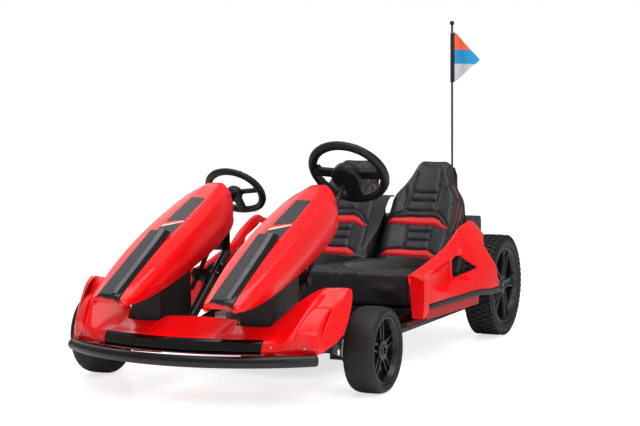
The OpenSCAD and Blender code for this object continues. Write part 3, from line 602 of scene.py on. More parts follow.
# Front fairing: a deck notched round the housings, with an arm, a bulge and a blade at each side
fairingSet = {
    "wall": 3.2,
    # Ribs from the middle outwards: lip, brow, crest, four places up the deck, rear edge, flange
    "ribs": [
        [(0, -297, 118), (0, -303, 127), (0, -289, 151), (0, -262, 158), (0, -235, 164), (0, -210, 170),
         (0, -180, 178), (0, -155, 185), (0, -151, 177)],
        [(52, -295, 118), (52, -301, 127), (52, -287, 151), (52, -260, 158), (52, -234, 164), (52, -209, 170),
         (52, -180, 178), (52, -157, 184), (52, -153, 176)],
        [(88, -290, 118), (88, -295, 127), (88, -281, 151), (86, -256, 158), (84, -232, 164), (84, -208, 170),
         (86, -182, 177), (88, -161, 183), (88, -157, 175)],
        [(99, -288, 118), (99, -293, 127), (99, -279, 151), (99, -256, 155), (99, -236, 156), (99, -217, 160),
         (99, -188, 170), (99, -163, 181), (99, -159, 173)],
        [(103, -287, 118), (103, -292, 127), (103, -278, 151), (104, -257, 155), (104, -240, 157), (104, -224, 161),
         (104, -204, 167), (104, -185, 173), (104, -181, 165)],
        [(148, -277, 118), (148, -283, 127), (148, -269, 151), (148, -255, 155), (148, -240, 156),
         (148, -224, 159), (148, -204, 165), (148, -184, 171), (148, -180, 163)],
        [(193, -263, 118), (193, -268, 127), (193, -254, 151), (193, -243, 155), (193, -229, 157),
         (193, -212, 161), (193, -198, 167), (193, -184, 173), (193, -180, 165)],
        [(197, -261, 118), (197, -266, 127), (197, -252, 151), (198, -238, 156), (198, -220, 159), (198, -202, 165),
         (198, -180, 175), (198, -158, 185), (198, -154, 177)],
        [(210, -256, 118), (210, -261, 127), (210, -247, 151), (210, -228, 158), (209, -205, 167), (208, -182, 177),
         (207, -160, 186), (206, -142, 196), (205, -138, 188)],
        [(230, -249, 118), (230, -254, 127), (232, -241, 150), (231, -220, 162), (230, -196, 175), (229, -172, 189),
         (226, -150, 203), (222, -132, 213), (220, -128, 205)],
        [(250, -241, 118), (251, -246, 127), (252, -243, 148), (255, -226, 165), (257, -204, 182), (258, -178, 201),
         (257, -150, 219), (250, -124, 236), (247, -120, 229)],
        [(262, -237, 118), (263, -241, 128), (262, -243, 153), (271, -226, 174), (279, -206, 196), (286, -178, 222),
         (291, -145, 244), (287, -113, 258), (283, -109, 251)],
        [(268, -234, 118), (269, -238, 128), (270, -240, 152), (279, -220, 176), (287, -198, 199), (294, -170, 224),
         (301, -139, 249), (303, -108, 262), (300, -103, 255)],
        [(275, -230, 118), (276, -234, 129), (277, -234, 152), (286, -214, 172), (294, -190, 193), (302, -160, 217),
         (309, -132, 242), (313, -104, 262), (311, -99, 255)],
        [(281, -227, 118), (282, -232, 130), (284, -238, 167), (291, -215, 194), (300, -182, 221), (304, -158, 222),
         (313, -128, 240), (319, -101, 262), (318, -96, 255)],
        [(300, -218, 119), (301, -223, 131), (305, -223, 170), (309, -199, 197), (315, -162, 222), (318, -141, 221),
         (325, -118, 240), (329, -96, 262), (328, -91, 255)],
        [(320, -209, 119), (321, -214, 131), (325, -207, 169), (328, -180, 196), (331, -148, 221), (333, -130, 219),
         (337, -112, 238), (340, -91, 262), (339, -86, 255)],
        [(325, -206, 119), (326, -209, 131), (329, -196, 160), (333, -168, 182), (338, -136, 198), (341, -118, 202),
         (344, -104, 226), (345, -88, 258), (344, -83, 252)]],
    # The blade from its top to its foot: inner edge, ridge, outer edge, turned-in edge
    "blade": [
        [(336, -99, 259), (349, -91, 262), (357, -84, 257), (354, -79, 251)],
        [(337, -106, 257), (351, -97, 258), (360, -87, 250), (356, -82, 245)],
        [(339, -130, 243), (355, -113, 243), (363, -93, 232), (358, -88, 228)],
        [(338, -155, 218), (352, -138, 213), (366, -115, 203), (360, -110, 200)],
        [(335, -184, 185), (346, -168, 178), (366, -134, 176), (359, -130, 174)],
        [(328, -203, 145), (337, -191, 143), (361, -156, 148), (353, -152, 150)],
        [(324, -211, 121), (328, -209, 121), (333, -204, 122), (329, -201, 126)]],
    "backing": [[(316, -88, 257), (351, -79, 252)], [(320, -108, 236), (358, -86, 232)],
                [(325, -132, 212), (358, -106, 204)], [(328, -166, 182), (346, -140, 178)]]}


def makeFairing(values):
    ribs = values["ribs"]
    full = [[(-x, y, z) for x, y, z in rib] for rib in ribs[:0:-1]] + ribs
    rows = [[at(*rib[k]) for rib in full] for k in range(len(ribs[0]))]
    last = len(full) - 1
    sharp = {2: 0.55, 3: 0.5, 4: 0.5, 5: 0.3, 6: 0.4, 7: 0.4, 12: 0.75, 14: 0.8, 16: 0.8}
    # Black backing that closes the slot between the bulge and the blade
    middle = len(ribs) - 1
    columns = {middle + side * k: value for k, value in sharp.items() for side in (-1, 1)}
    deck = gridSheet("frontFairingShell", rows, {1: 0.6, 2: 0.7, 7: 0.85}, columns)
    smoothed(deck, 2)
    walled(deck, values["wall"])
    softEdged(deck, 0.5, 2, 50)
    bladeRows = [[at(*p) for p in row] for row in values["blade"]]
    blade = gridSheet("fairingBlade", [list(row) for row in bladeRows], {0: 0.6, 6: 0.6}, {1: 0.85, 2: 0.8})
    smoothed(blade, 2)
    pick(blade)
    bpy.ops.object.mode_set(mode="EDIT")
    bpy.ops.mesh.select_all(action="SELECT")
    bpy.ops.mesh.flip_normals()
    bpy.ops.object.mode_set(mode="OBJECT")
    walled(blade, values["wall"])
    softEdged(blade, 0.5, 2, 50)
    slotRows = [[at(*p) for p in row] for row in values["backing"]]
    for side, name in ((None, "leftSlotBacking"), (acrossKart, "rightSlotBacking")):
        backing = walled(gridSheet(name, slotRows), 1.5)
        if side:
            backing.data.transform(side)
            backing.data.flip_normals()
        finished(backing, materials["black_plastic"], "chassis", ("front_fairing",))
    otherBlade = copied(blade, "otherBlade", acrossKart)
    return joined("frontFairingShell", [deck, blade, otherBlade])


fairing = makeFairing(fairingSet)
finished(fairing, materials["red_plastic"], "chassis", ("front_fairing",), 40)

# Closed housings that carry the noses, behind the fairing's rear edge
housingSet = {"half": 41, "corners": [(-172, 92), (-172, 258), (-60, 312), (-16, 330), (-14, 92)]}
# Bumper: a bent tube with domed ends
bumperSet = {"bend": 500, "half": 325, "front": -352.2, "z": 108, "radius": 14, "steps": 40}


def makeBumper(values):
    rows = []
    for k in range(-3, values["steps"] + 4):
        share = min(max(k / values["steps"], 0), 1)
        x = values["half"] * (2 * share - 1)
        y = values["front"] + values["radius"] + values["bend"] - math.sqrt(values["bend"] ** 2 - x * x)
        along = Vector((math.sqrt(values["bend"] ** 2 - x * x), x, 0)).normalized()
        beyond = max(0, -k, k - values["steps"])
        radius = values["radius"] * (1, 0.97, 0.7, 0.05)[beyond]
        middle = Vector((x, y, values["z"])) + along * (0, 2.2, 4, 4.3)[beyond] * (1 if k > 0 else -1)
        side = Vector((-along.y, along.x, 0))
        rows.append([at(*(middle + side * radius * math.cos(2 * math.pi * j / 20)
                          + Vector((0, 0, radius * math.sin(2 * math.pi * j / 20))))) for j in range(21)])
    return smoothed(merged(gridSheet("bumperTube", rows), 0.05), 1)

# Black plate along the brow
plateSet = {"half": 208, "steps": 16, "bow": 545,
            # How far behind the middle of the brow, and how high
            "section": [(15.5, 152.5), (12.5, 154.5), (4, 148.5), (-3.2, 131), (-1.5, 121.5), (3, 120)]}


def makePlate(values):
    rows = []
    for dy, z in values["section"]:
        row = []
        for k in range(values["steps"] + 1):
            x = values["half"] * (2 * k / values["steps"] - 1)
            bow = values["bow"] - math.sqrt(values["bow"] ** 2 - x * x)
            row.append(at(x, -303 + dy + bow, z))
        rows.append(row)
    plate = gridSheet("browPlate", rows[::-1], {1: 0.8, 2: 0.8, 3: 0.85, 4: 0.8}, {0: 1, values["steps"]: 1})
    smoothed(plate, 2)
    return walled(plate, 2)


finished(makePlate(plateSet), materials["gloss_black"], "chassis", ("fairing_trim",))
print("fairing made")

for side, name in ((1, "driverNoseHousing"), (-1, "secondNoseHousing")):
    middle, half = side * noseSet["x"], housingSet["half"]
    housing = softEdged(prism(name, housingSet["corners"], middle - half, middle + half), 4, 3)
    finished(housing, materials["black_plastic"], "chassis", ("nose_pedestals",))
finished(makeBumper(bumperSet), materials["painted_steel"], "chassis", ("front_bumper",), 50)
print("housings and bumper made")

# Side pods: a rail over a scoop with a mesh opening, and a ridge above the stripe
podSet = {
    "wall": 3.2,
    # y, then x and z of the rail, lip, upper deep, lower deep, ridge, stripe and foot
    "rows": [
        (406, 309, 234, 328, 230, 334, 228, 340, 224, 350, 221, 350, 157, 346, 121),
        (420, 310, 237, 331, 230, 336, 228, 342, 224, 353, 220, 352, 157, 350, 121.5),
        (434, 312, 240, 332, 231, 334, 225, 340, 214, 357, 210, 354, 156.5, 353, 144.5),
        (456, 314, 245, 334, 233, 333, 223, 336, 196, 362, 191, 360, 157, 359, 145),
        (500, 317, 254, 337, 238, 333, 224, 334, 188, 368, 180, 367, 159, 366, 147),
        (560, 320, 267, 342, 247, 333, 235, 334, 191, 375, 183, 378, 161, 377, 149),
        (615, 323, 280, 346, 258, 333, 247, 334, 195, 381, 189, 387, 163.5, 386, 151),
        (648, 325, 290, 348, 267, 333, 257, 334, 198, 384, 194, 392, 165, 391, 152),
        (690, 328, 309, 352, 288, 352, 266, 360, 214, 389, 203, 398, 166, 397, 152.5),
        (722, 330, 326, 354, 304, 368, 278, 379, 234, 393, 211, 402, 164.5, 401, 150.5),
        (748, 332, 338, 356, 313, 371, 282, 384, 245, 396, 219, 405, 161.5, 404, 147.5),
        (790, 335, 346, 359, 318, 374, 287, 389, 252, 401, 226, 409, 159, 408, 145),
        (806, 336, 347, 360, 317, 375, 286, 390, 252, 403, 226, 410.5, 159.5, 409.5, 145.5),
        (824, 337, 336, 361, 308, 377, 280, 392, 248, 405, 222, 412, 160.5, 411, 146.5)],
    "flangeWidth": 12, "flangeHeight": 24, "innerX": 305,
    # How far the rear edge of each line lies from the last row: it slants back downwards
    "rearShift": [12, 14, 16, 18, -26, -12, 0, 8, 11, 11]}


def podPoints(row):
    pairs = list(zip(row[1::2], row[2::2]))
    railX, railZ = pairs[0]
    inner = [(railX - podSet["flangeWidth"], railZ - podSet["flangeHeight"]),
             (railX - podSet["flangeWidth"] + 3, railZ - 3)]
    return [(x, row[0], z) for x, z in inner + pairs]


def makePod(values):
    rows = [podPoints(row) for row in values["rows"]]
    # The front end is a face that turns in to the bench
    first = rows[0]
    level = [232, 232] + [min(z, 232) for x, y, z in first[2:]]
    inner = [values["innerX"] + 0.09 * (232 - z) for z in level]
    front = [[(x, first[0][1] + turn, z) for x, z in zip(inner, level)] for turn in (14, 1)]
    rows[0] = [(max(x, low + 3), y, z) for (x, y, z), low in zip(first, inner)]
    rows[-1] = [(x, y + shift, z) for (x, y, z), shift in zip(rows[-1], values["rearShift"])]
    rows[-2] = [(x, y + shift * 0.7, z) for (x, y, z), shift in zip(rows[-2], values["rearShift"])]
    rear = [(x - 7, y + 1, z - 1) for x, y, z in rows[-1]]
    points = [[at(*p) for p in row] for row in front + rows + [rear]]
    pod = gridSheet("leftPodShell", points, {1: 0.8, 2: 0.6, 5: 0.5, 9: 0.75, 11: 0.4, len(points) - 2: 0.7},
                    {1: 0.5, 2: 0.65, 3: 0.95, 4: 0.5, 5: 0.75, 6: 0.95, 7: 0.55, 8: 0.8})
    smoothed(pod, 2)
    return walled(pod, values["wall"])


pod = makePod(podSet)

# Opening of the scoop: a rounded triangle cut through its end wall
openingSet = {"corners": [(653, 250), (660, 258), (670, 262), (684, 259), (722, 229), (724, 224), (719, 222), (660, 202), (652, 207)],
              "innerX": 300, "outerX": 420}


def cut(piece, tool, operation="DIFFERENCE", keep=False):
    worked(piece, "BOOLEAN", object=tool, operation=operation, solver="EXACT")
    if not keep:
        bpy.data.objects.remove(tool)
    return piece


cut(pod, prism("scoopCutter", openingSet["corners"], openingSet["innerX"], openingSet["outerX"]))
softEdged(pod, 0.5, 2, 55)
rightPod = copied(pod, "rightPodShell", acrossKart)
finished(pod, materials["red_plastic"], "chassis", ("left_pod",), 40)
finished(rightPod, materials["red_plastic"], "chassis", ("right_pod",), 40)

# Black rubber stripe along each pod's foot
stripeSet = {"proud": 2.4}


def makeStripe(values):
    rows = []
    for row in podSet["rows"][2:]:
        (topX, topZ), (lowX, lowZ) = list(zip(row[1::2], row[2::2]))[5:7]
        out = values["proud"]
        rows.append([at(topX - 2, row[0], topZ + 2.5), at(topX + out * 0.6, row[0], topZ + 2),
                     at(topX + out, row[0], topZ - 1), at(lowX + out, row[0], lowZ + 2),
                     at(lowX + out * 0.5, row[0], lowZ - 1), at(lowX - 3, row[0], lowZ - 1)])
    front = [point - Vector((2 * mm, 3 * mm, 0)) for point in rows[0]]
    rear = [point + Vector((-6 * mm, 2 * mm, 0)) for point in rows[-1]]
    stripe = gridSheet("leftPodStripe", [front] + rows + [rear], {1: 0.9, len(rows): 0.9}, {1: 0.8, 2: 0.8, 3: 0.8, 4: 0.8})
    smoothed(stripe, 2)
    return walled(stripe, 1.5)


stripe = makeStripe(stripeSet)
otherStripe = copied(stripe, "rightPodStripe", acrossKart)
for piece in (stripe, otherStripe):
    finished(piece, materials["black_plastic"], "chassis", ("pod_stripes",))

# Sill under each pod, back to the frame tube
sillSet = {"ys": (430, 500, 570, 640, 705), "tube": 291, "tubeTop": 103, "rise": 10}


def makeSill(values):
    rows = []
    for k, y in enumerate(values["ys"]):
        footX, footZ = between(podSet["rows"], y, 13), between(podSet["rows"], y, 14)
        low = 117 + values["rise"] * k / (len(values["ys"]) - 1)
        rows.append([at(values["tube"] - 4, y, values["tubeTop"] - 8), at(values["tube"], y, values["tubeTop"]),
                     at(footX - 16, y, low - 4), at(footX - 5, y, low), at(footX - 3.5, y, (low + footZ) / 2),
                     at(footX - 2.5, y, footZ + 6)])
    sill = gridSheet("leftPodSill", [row[::-1] for row in rows], None, {1: 0.7, 2: 0.8, 3: 0.7})
    smoothed(sill, 2)
    return walled(sill, 2.2)


sill = makeSill(sillSet)
otherSill = copied(sill, "rightPodSill", acrossKart)
# The sills take the red with painted shade
for piece in (sill, otherSill):
    finished(piece, paintedShadeSillRed, "chassis", ("pod_sills",))

# Expanded mesh behind each opening: rows of staggered cells
grilleSet = {"cell": 6.4, "strand": 1.3, "depth": 1.2, "y": (650, 728), "z": (203, 266)}


def makeGrille(values):
    deselectAll()
    cell = values["cell"]
    bpy.ops.mesh.primitive_circle_add(vertices=6, radius=cell / math.sqrt(3) * mm, fill_type="NGON")
    plate = bpy.context.object
    plate.name = "leftPodGrille"
    worked(plate, "ARRAY", count=int((values["y"][1] - values["y"][0]) / cell), use_relative_offset=False,
           use_constant_offset=True, constant_offset_displace=(0, cell * mm, 0), use_merge_vertices=True)
    second = copied(plate, "grilleRow", Matrix.Translation((cell * math.sqrt(3) / 2 * mm, cell / 2 * mm, 0)))
    plate = joined("leftPodGrille", [plate, second])
    worked(plate, "ARRAY", count=int((values["z"][1] - values["z"][0]) / cell / 1.5), use_relative_offset=False,
           use_constant_offset=True, constant_offset_displace=(cell * math.sqrt(3) * mm, 0, 0), use_merge_vertices=True)
    merged(plate, 0.05)
    worked(plate, "WIREFRAME", thickness=values["strand"] * mm, use_replace=True, use_boundary=True)
    # The plate lies along the scoop's end wall, which runs outwards to the rear
    front, rear = Vector((331, 644)), Vector((369, 728))
    for vertex in plate.data.vertices:
        y = values["y"][0] + vertex.co.y / mm
        z = values["z"][0] + vertex.co.x / mm
        share = (y - front.y) / (rear.y - front.y)
        x = front.x + share * (rear.x - front.x) - 4 + (z - 235) * -0.05
        vertex.co = at(x + vertex.co.z / mm, y, z)
    return plate


grille = makeGrille(grilleSet)
otherGrille = copied(grille, "rightPodGrille", acrossKart)
for piece in (grille, otherGrille):
    finished(piece, materials["gloss_black"], "chassis", ("pod_grilles",))
print("pods made")

# Tyres
frontTyreSet = {"steps": 96, "profile": [
    (76, -31), (80, -36.5), (86, -38.6), (93, -38.4), (98, -36), (101.3, -31), (103.2, -24), (103.9, -14), (104, 0),
    (103.9, 14), (103.2, 24), (101.3, 31), (98, 36), (94.5, 38), (93.6, 38.9), (90, 39), (88.6, 38.2), (85, 38.2),
    (83.2, 36.5), (82.2, 33), (76, 31)]}
rearTyreSet = {"steps": 96, "profile": [
    (106, -35), (110, -41), (118, -42.8), (130, -42), (137.5, -39), (141, -34), (142, -26), (142.3, 0), (142, 26),
    (141, 34), (137.5, 39), (131, 42), (129.5, 42.9), (124, 43), (122.5, 42.2), (117, 42.3), (113.5, 41), (111.6, 37),
    (106, 35)],
    "pitches": 54, "blockLength": 12.4,
    # Distance from the middle, width, radius at the top, how far round it is staggered
    "blocks": [(-34, 12, 144.2, 0), (-17.5, 13.5, 145.8, 0.5), (0, 13.5, 145.8, 0), (17.5, 13.5, 145.8, 0.5),
               (34, 12, 144.2, 0)],
    "shoulder": (39.6, 6, 139.5)}

frontTyre = lathe("frontLeftTyre", frontTyreSet["profile"], frontTyreSet["steps"], (375, 0, 104))
otherFrontTyre = copied(frontTyre, "frontRightTyre", acrossKart)


def treadBlocks(values):
    # One block of each row, copied round the tyre by given turns
    centreX, centreZ = 341, 146
    blocks = []
    for out, width, top, stagger in values["blocks"]:
        tilt = -0.35 * (1 if out > 30 else -1 if out < -30 else 0)
        for k in range(values["pitches"]):
            turn = 2 * math.pi * (k + stagger) / values["pitches"]
            radial = Vector((math.sin(tilt), math.cos(turn) * math.cos(tilt), math.sin(turn) * math.cos(tilt)))
            along = Vector((0, -math.sin(turn), math.cos(turn)))
            side = along.cross(radial)
            middle = (centreX + out, wheelbase + (top - 3) * math.cos(turn), centreZ + (top - 3) * math.sin(turn))
            blocks.append((middle, (along, side, radial), width))
    return blocks


def makeTread(values):
    deselectAll()
    bpy.ops.mesh.primitive_cube_add(size=1)
    block = bpy.context.object
    base = [Vector(v.co) for v in block.data.vertices]
    faces = [tuple(face.vertices) for face in block.data.polygons]
    vertices, polygons = [], []
    for middle, (along, side, radial), width in treadBlocks(values):
        first = len(vertices)
        for corner in base:
            scale = 0.84 if corner.z > 0 else 1.04
            point = at(*middle) + (along * corner.x * values["blockLength"] * scale
                                   + side * corner.y * width * scale + radial * corner.z * 6) * mm
            vertices.append(point)
        polygons += [tuple(first + index for index in face) for face in faces]
    block.data.clear_geometry()
    block.data.from_pydata(vertices, [], polygons)
    block.data.update()
    block.name = "rearTreadBlocks"
    pick(block)
    bpy.ops.object.mode_set(mode="EDIT")
    bpy.ops.mesh.select_all(action="SELECT")
    bpy.ops.mesh.normals_make_consistent(inside=False)
    bpy.ops.object.mode_set(mode="OBJECT")
    return block


rearTyre = lathe("rearLeftTyre", rearTyreSet["profile"], rearTyreSet["steps"], (341, wheelbase, 146))
rearTyre = joined("rearLeftTyre", [rearTyre, makeTread(rearTyreSet)])
otherRearTyre = copied(rearTyre, "rearRightTyre", acrossKart)
for piece, node, body in ((frontTyre, "front_left_tyre", "front_left_wheel"),
                          (otherFrontTyre, "front_right_tyre", "front_right_wheel"),
                          (rearTyre, "rear_left_tyre", "rear_left_wheel"),
                          (otherRearTyre, "rear_right_tyre", "rear_right_wheel")):
    finished(piece, materials["tyre_rubber"], body, (node,), 38)
print("tyres made")

# Padded seats: sewn covers over moulded foam, swelled by a cloth simulation


def swelled(piece, voxel, pressure, cap):
    # Even faces, then Cloth with pressure; no point moves further than the cap, in millimetres
    worked(piece, "REMESH", mode="VOXEL", voxel_size=voxel * mm, use_smooth_shade=True)
    before = [vertex.co.copy() for vertex in piece.data.vertices]
    pick(piece)
    cloth = piece.modifiers.new("cloth", "CLOTH")
    cloth.settings.use_pressure = True
    cloth.settings.uniform_pressure_force = pressure
    cloth.settings.quality = 4
    cloth.settings.effector_weights.gravity = 0
    cloth.collision_settings.use_collision = False
    for step in range(1, 21):
        bpy.context.scene.frame_set(step)
    bpy.ops.object.modifier_apply(modifier=cloth.name)
    bpy.context.scene.frame_set(1)
    for vertex, start in zip(piece.data.vertices, before):
        move = vertex.co - start
        if move.length > cap * mm:
            vertex.co = start + move * (cap * mm / move.length)
    worked(piece, "SMOOTH", factor=0.5, iterations=3)
    return smoothed(piece, 1)


seatSet = {
    "x": 127, "foot": (862, 205), "lean": 35, "half": 123,
    # Up the back, share of the half width, thickness
    "rows": [(-57, 0.7, 40), (-53, 0.86, 56), (0, 0.93, 60), (60, 0.98, 63), (120, 1, 68), (185, 1, 70),
             (225, 0.99, 66), (252, 0.92, 60), (274, 0.78, 54), (296, 0.66, 50), (326, 0.55, 47), (355, 0.47, 45),
             (374, 0.36, 38)],
    # Across the cover: share of the half width, share of the thickness
    "ring": [(0, 0.02), (-0.97, 0), (-1.02, 0.5), (-0.93, 0.98), (-0.55, 0.84), (0, 0.74), (0.55, 0.84), (0.93, 0.98),
             (1.02, 0.5), (0.97, 0)],
    "voxel": 5, "pressure": 4, "cap": 7,
    # Seams on the cover as (across, up the back) in millimetres
    "seams": [[(-41, 313), (-46, 240), (-57, 191), (-49, 189)], [(24, 345), (30, 328), (36, 246), (38, 193)],
              [(-41, 252), (35, 252)], [(-45, 224), (36, 224)],
              [(-104, 166), (-73, 176), (-49, 189), (34, 191), (55, 180), (72, 159), (93, 131), (98, 110)],
              [(-70, 269), (-61, 240), (-57, 191)], [(-113, 241), (-110, 200), (-108, 160), (-106, 47)],
              [(78, 288), (53, 254), (46, 223), (44, 191)], [(67, 280), (86, 253), (107, 219), (108, 169),
                                                             (108, 122), (104, 60)],
              [(-39, 141), (-36, 100), (-33, 60)], [(40, 141), (41, 100), (42, 60)],
              [(-37, 118.5), (40, 118.5)], [(-35, 89.5), (41, 89.5)],
              [(-38, 33), (-45, 0)], [(36, 33), (31, 0)], [(-42, 13), (33, 13)]],
    "threads": [[(71, 283), (90, 255), (104, 217), (105, 163), (103, 127)],
                [(60, 339), (73, 304), (96, 268), (113, 232), (113, 170)],
                [(-60, 320), (-90, 268), (-110, 232), (-110, 170)]],
    "bands": [[(-110, 159), (-73, 163), (-38, 169), (35, 170), (55, 161), (71, 145), (90, 131), (79, 125),
               (62, 134), (44, 142), (-46, 143), (-76, 143), (-107, 141)],
              [(-109, 46), (-77, 53), (-45, 59), (41, 58), (58, 47), (72, 37), (60, 25), (40, 33), (-40, 35),
               (-72, 34), (-107, 31)]],
    "seamDepth": 4.2, "seamWidth": 3.6, "puff": 2.6, "puffWidth": 11}


def seatPoint(across, up, depth, thickness):
    # A place on the seat: across, up the back, and its share of the thickness counted from behind
    lean = math.radians(seatSet["lean"])
    y, z = seatSet["foot"]
    out = (depth - 1) * thickness
    return at(across, y + up * math.sin(lean) - out * math.cos(lean), z + up * math.cos(lean) + out * math.sin(lean))


def polylineDistance(points, lines):
    # Distance of each point to the nearest of the lines
    nearest = np.full(len(points), 1e3)
    for line in lines:
        for start, end in zip(line, line[1:]):
            start, step = np.array(start, float), np.array(end, float) - np.array(start, float)
            share = np.clip(((points - start) @ step) / (step @ step), 0, 1)
            nearest = np.minimum(nearest, np.linalg.norm(points - start - share[:, None] * step, axis=1))
    return nearest


def insideOutline(points, outline):
    inside = np.zeros(len(points), bool)
    for (x1, y1), (x2, y2) in zip(outline, outline[1:] + outline[:1]):
        if y1 != y2:
            crossing = (points[:, 1] > min(y1, y2)) & (points[:, 1] <= max(y1, y2))
            crossing &= points[:, 0] < x1 + (points[:, 1] - y1) * (x2 - x1) / (y2 - y1)
            inside ^= crossing
    return inside


def addValues(piece, name, values):
    piece.data.attributes.new(name, "FLOAT", "POINT").data.foreach_set("value", values.astype(np.float32))


def sewn(piece, values, across, up, out, front):
    # Seams pull the cover in and the foam between them stands out; the distances stay as attributes
    points = np.stack([across, up], axis=1)
    edges = [band + band[:1] for band in values.get("bands", [])]
    seam = polylineDistance(points, values["seams"] + edges)
    depth = values["seamDepth"] * np.exp(-(seam / values["seamWidth"]) ** 2)
    rise = values["puff"] * (1 - np.exp(-seam / values["puffWidth"])) - depth
    moved = (rise * front)[:, None] * np.array(out) * mm
    places = np.empty(len(piece.data.vertices) * 3)
    piece.data.vertices.foreach_get("co", places)
    places = places.reshape(-1, 3) + moved
    piece.data.vertices.foreach_set("co", places.ravel())
    band = np.full(len(points), 50.0)
    for outline in values.get("bands", []):
        away = polylineDistance(points, [outline + outline[:1]])
        band = np.minimum(band, np.where(insideOutline(points, outline), -away, away))
    thread = polylineDistance(points, values["threads"]) if "threads" in values else np.full(len(points), 50.0)
    aside = np.where(front < 0.9, 50, 0)
    for name, numbers in (("bandDistance", band), ("threadDistance", thread), ("seamDistance", seam)):
        addValues(piece, name, numbers + aside)
    piece.data.update()


def vertexArray(piece):
    places = np.empty(len(piece.data.vertices) * 3)
    piece.data.vertices.foreach_get("co", places)
    return places.reshape(-1, 3)


def makeSeat(values):
    rows = [[seatPoint(values["x"] + values["half"] * share * a, up, d, thickness)
             for a, d in values["ring"] + values["ring"][:1]] for up, share, thickness in values["rows"]]
    seat = merged(gridSheet("driverSeatCover", rows))
    pick(seat)
    bpy.ops.object.mode_set(mode="EDIT")
    bpy.ops.mesh.select_all(action="DESELECT")
    bpy.ops.mesh.select_non_manifold()
    bpy.ops.mesh.edge_face_add()
    bpy.ops.object.mode_set(mode="OBJECT")
    smoothed(seat, 2)
    swelled(seat, values["voxel"], values["pressure"], values["cap"])
    lean = math.radians(values["lean"])
    y, z = values["foot"]
    away = (vertexArray(seat) - np.array(at(values["x"], y, z))) / mm
    up = away[:, 1] * math.sin(lean) + away[:, 2] * math.cos(lean)
    out = (0, -math.cos(lean), math.sin(lean))
    height = away @ np.array(out)
    thickness = np.interp(up, [r[0] for r in values["rows"]], [r[2] for r in values["rows"]])
    front = np.clip((height / thickness + 1 - 0.42) / 0.2, 0, 1)
    sewn(seat, values, away[:, 0], up, out, front)
    return seat


def seatLeather():
    # Embossed PVC leatherette, red in the inset bands, with a red thread along the bolsters, and painted shade in
    # near-black along the seam grooves
    material, tree, shader, point = newMaterial("seatLeatherette", IOR=1.5)
    grain = addNode(tree, "TexVoronoi", {"Scale": 1 / 1.5}, {"Vector": point}, feature="SMOOTH_F1").outputs[0]
    black = addNode(tree, "Mix", {6: hexColour("242427"), 7: hexColour("303034")},
                    {0: spread(tree, noiseAt(tree, point, 45), 0, 1)}, data_type="RGBA").outputs[2]
    fields = {name: addNode(tree, "Attribute", attribute_name=name, attribute_type="GEOMETRY").outputs["Fac"]
              for name in ("bandDistance", "threadDistance", "seamDistance")}
    band = spread(tree, fields["bandDistance"], 1, 0, -0.4, 0.4)
    red = addNode(tree, "Mix", {7: hexColour("E2181C")}, {0: band, 6: black}, data_type="RGBA").outputs[2]
    stitches = addNode(tree, "TexWave", {"Scale": 0.055, "Distortion": 0.0}, {"Vector": point},
                       bands_direction="Z").outputs["Fac"]
    thread = addNode(tree, "Math", None, {0: spread(tree, fields["threadDistance"], 1, 0, 0.7, 1.3),
                                          1: spread(tree, stitches, 0.4, 1, 0.2, 0.4)}, operation="MULTIPLY").outputs[0]
    sewnRed = addNode(tree, "Mix", {7: hexColour("C8202A")}, {0: thread, 6: red}, data_type="RGBA").outputs[2]
    # Painted shade: the colour goes near-black along the seam grooves
    crease = spread(tree, fields["seamDistance"], 0.75, 0, 0.3, 2.2)
    final = addNode(tree, "Mix", {7: hexColour("050506")}, {0: crease, 6: sewnRed}, data_type="RGBA").outputs[2]
    tree.links.new(final, shader.inputs["Base Color"])
    tree.links.new(spread(tree, noiseAt(tree, point, 8), 0.4, 0.5), shader.inputs["Roughness"])
    bumped(tree, shader, grain, 0.12)
    return material


coverLeather = seatLeather()
driverSeat = makeSeat(seatSet)
secondSeat = copied(driverSeat, "secondSeatCover", Matrix.Translation((-2 * seatSet["x"] * mm, 0, 0)))
for piece, node in ((driverSeat, "driver_seat"), (secondSeat, "second_seat")):
    finished(piece, coverLeather, "chassis", (node,), 60)
print("seats made")

# Bench cushion with a pleated top
benchSet = {"size": (505, 330, 90), "centre": (0, 700, 174), "voxel": 6, "pressure": 4, "cap": 8,
            "seams": [[(x, 528), (x, 900)] for x in (-230, -201, -144, -65, 24, 53, 110, 189)]
            + [[(-260, 556), (260, 556)]],
            "seamDepth": 2.8, "seamWidth": 3.4, "puff": 1.8, "puffWidth": 14}


def makeBench(values):
    bench = boxed("benchCover", values["size"], values["centre"], edge=24)
    swelled(bench, values["voxel"], values["pressure"], values["cap"])
    places = (vertexArray(bench) - np.array(at(0, 0, 0))) / mm
    front = np.clip((places[:, 2] - 205) / 12, 0, 1)
    sewn(bench, values, places[:, 0], places[:, 1], (0, 0, 1), front)
    return bench


bench = makeBench(benchSet)
finished(bench, coverLeather, "chassis", ("seat_bench",), 60)

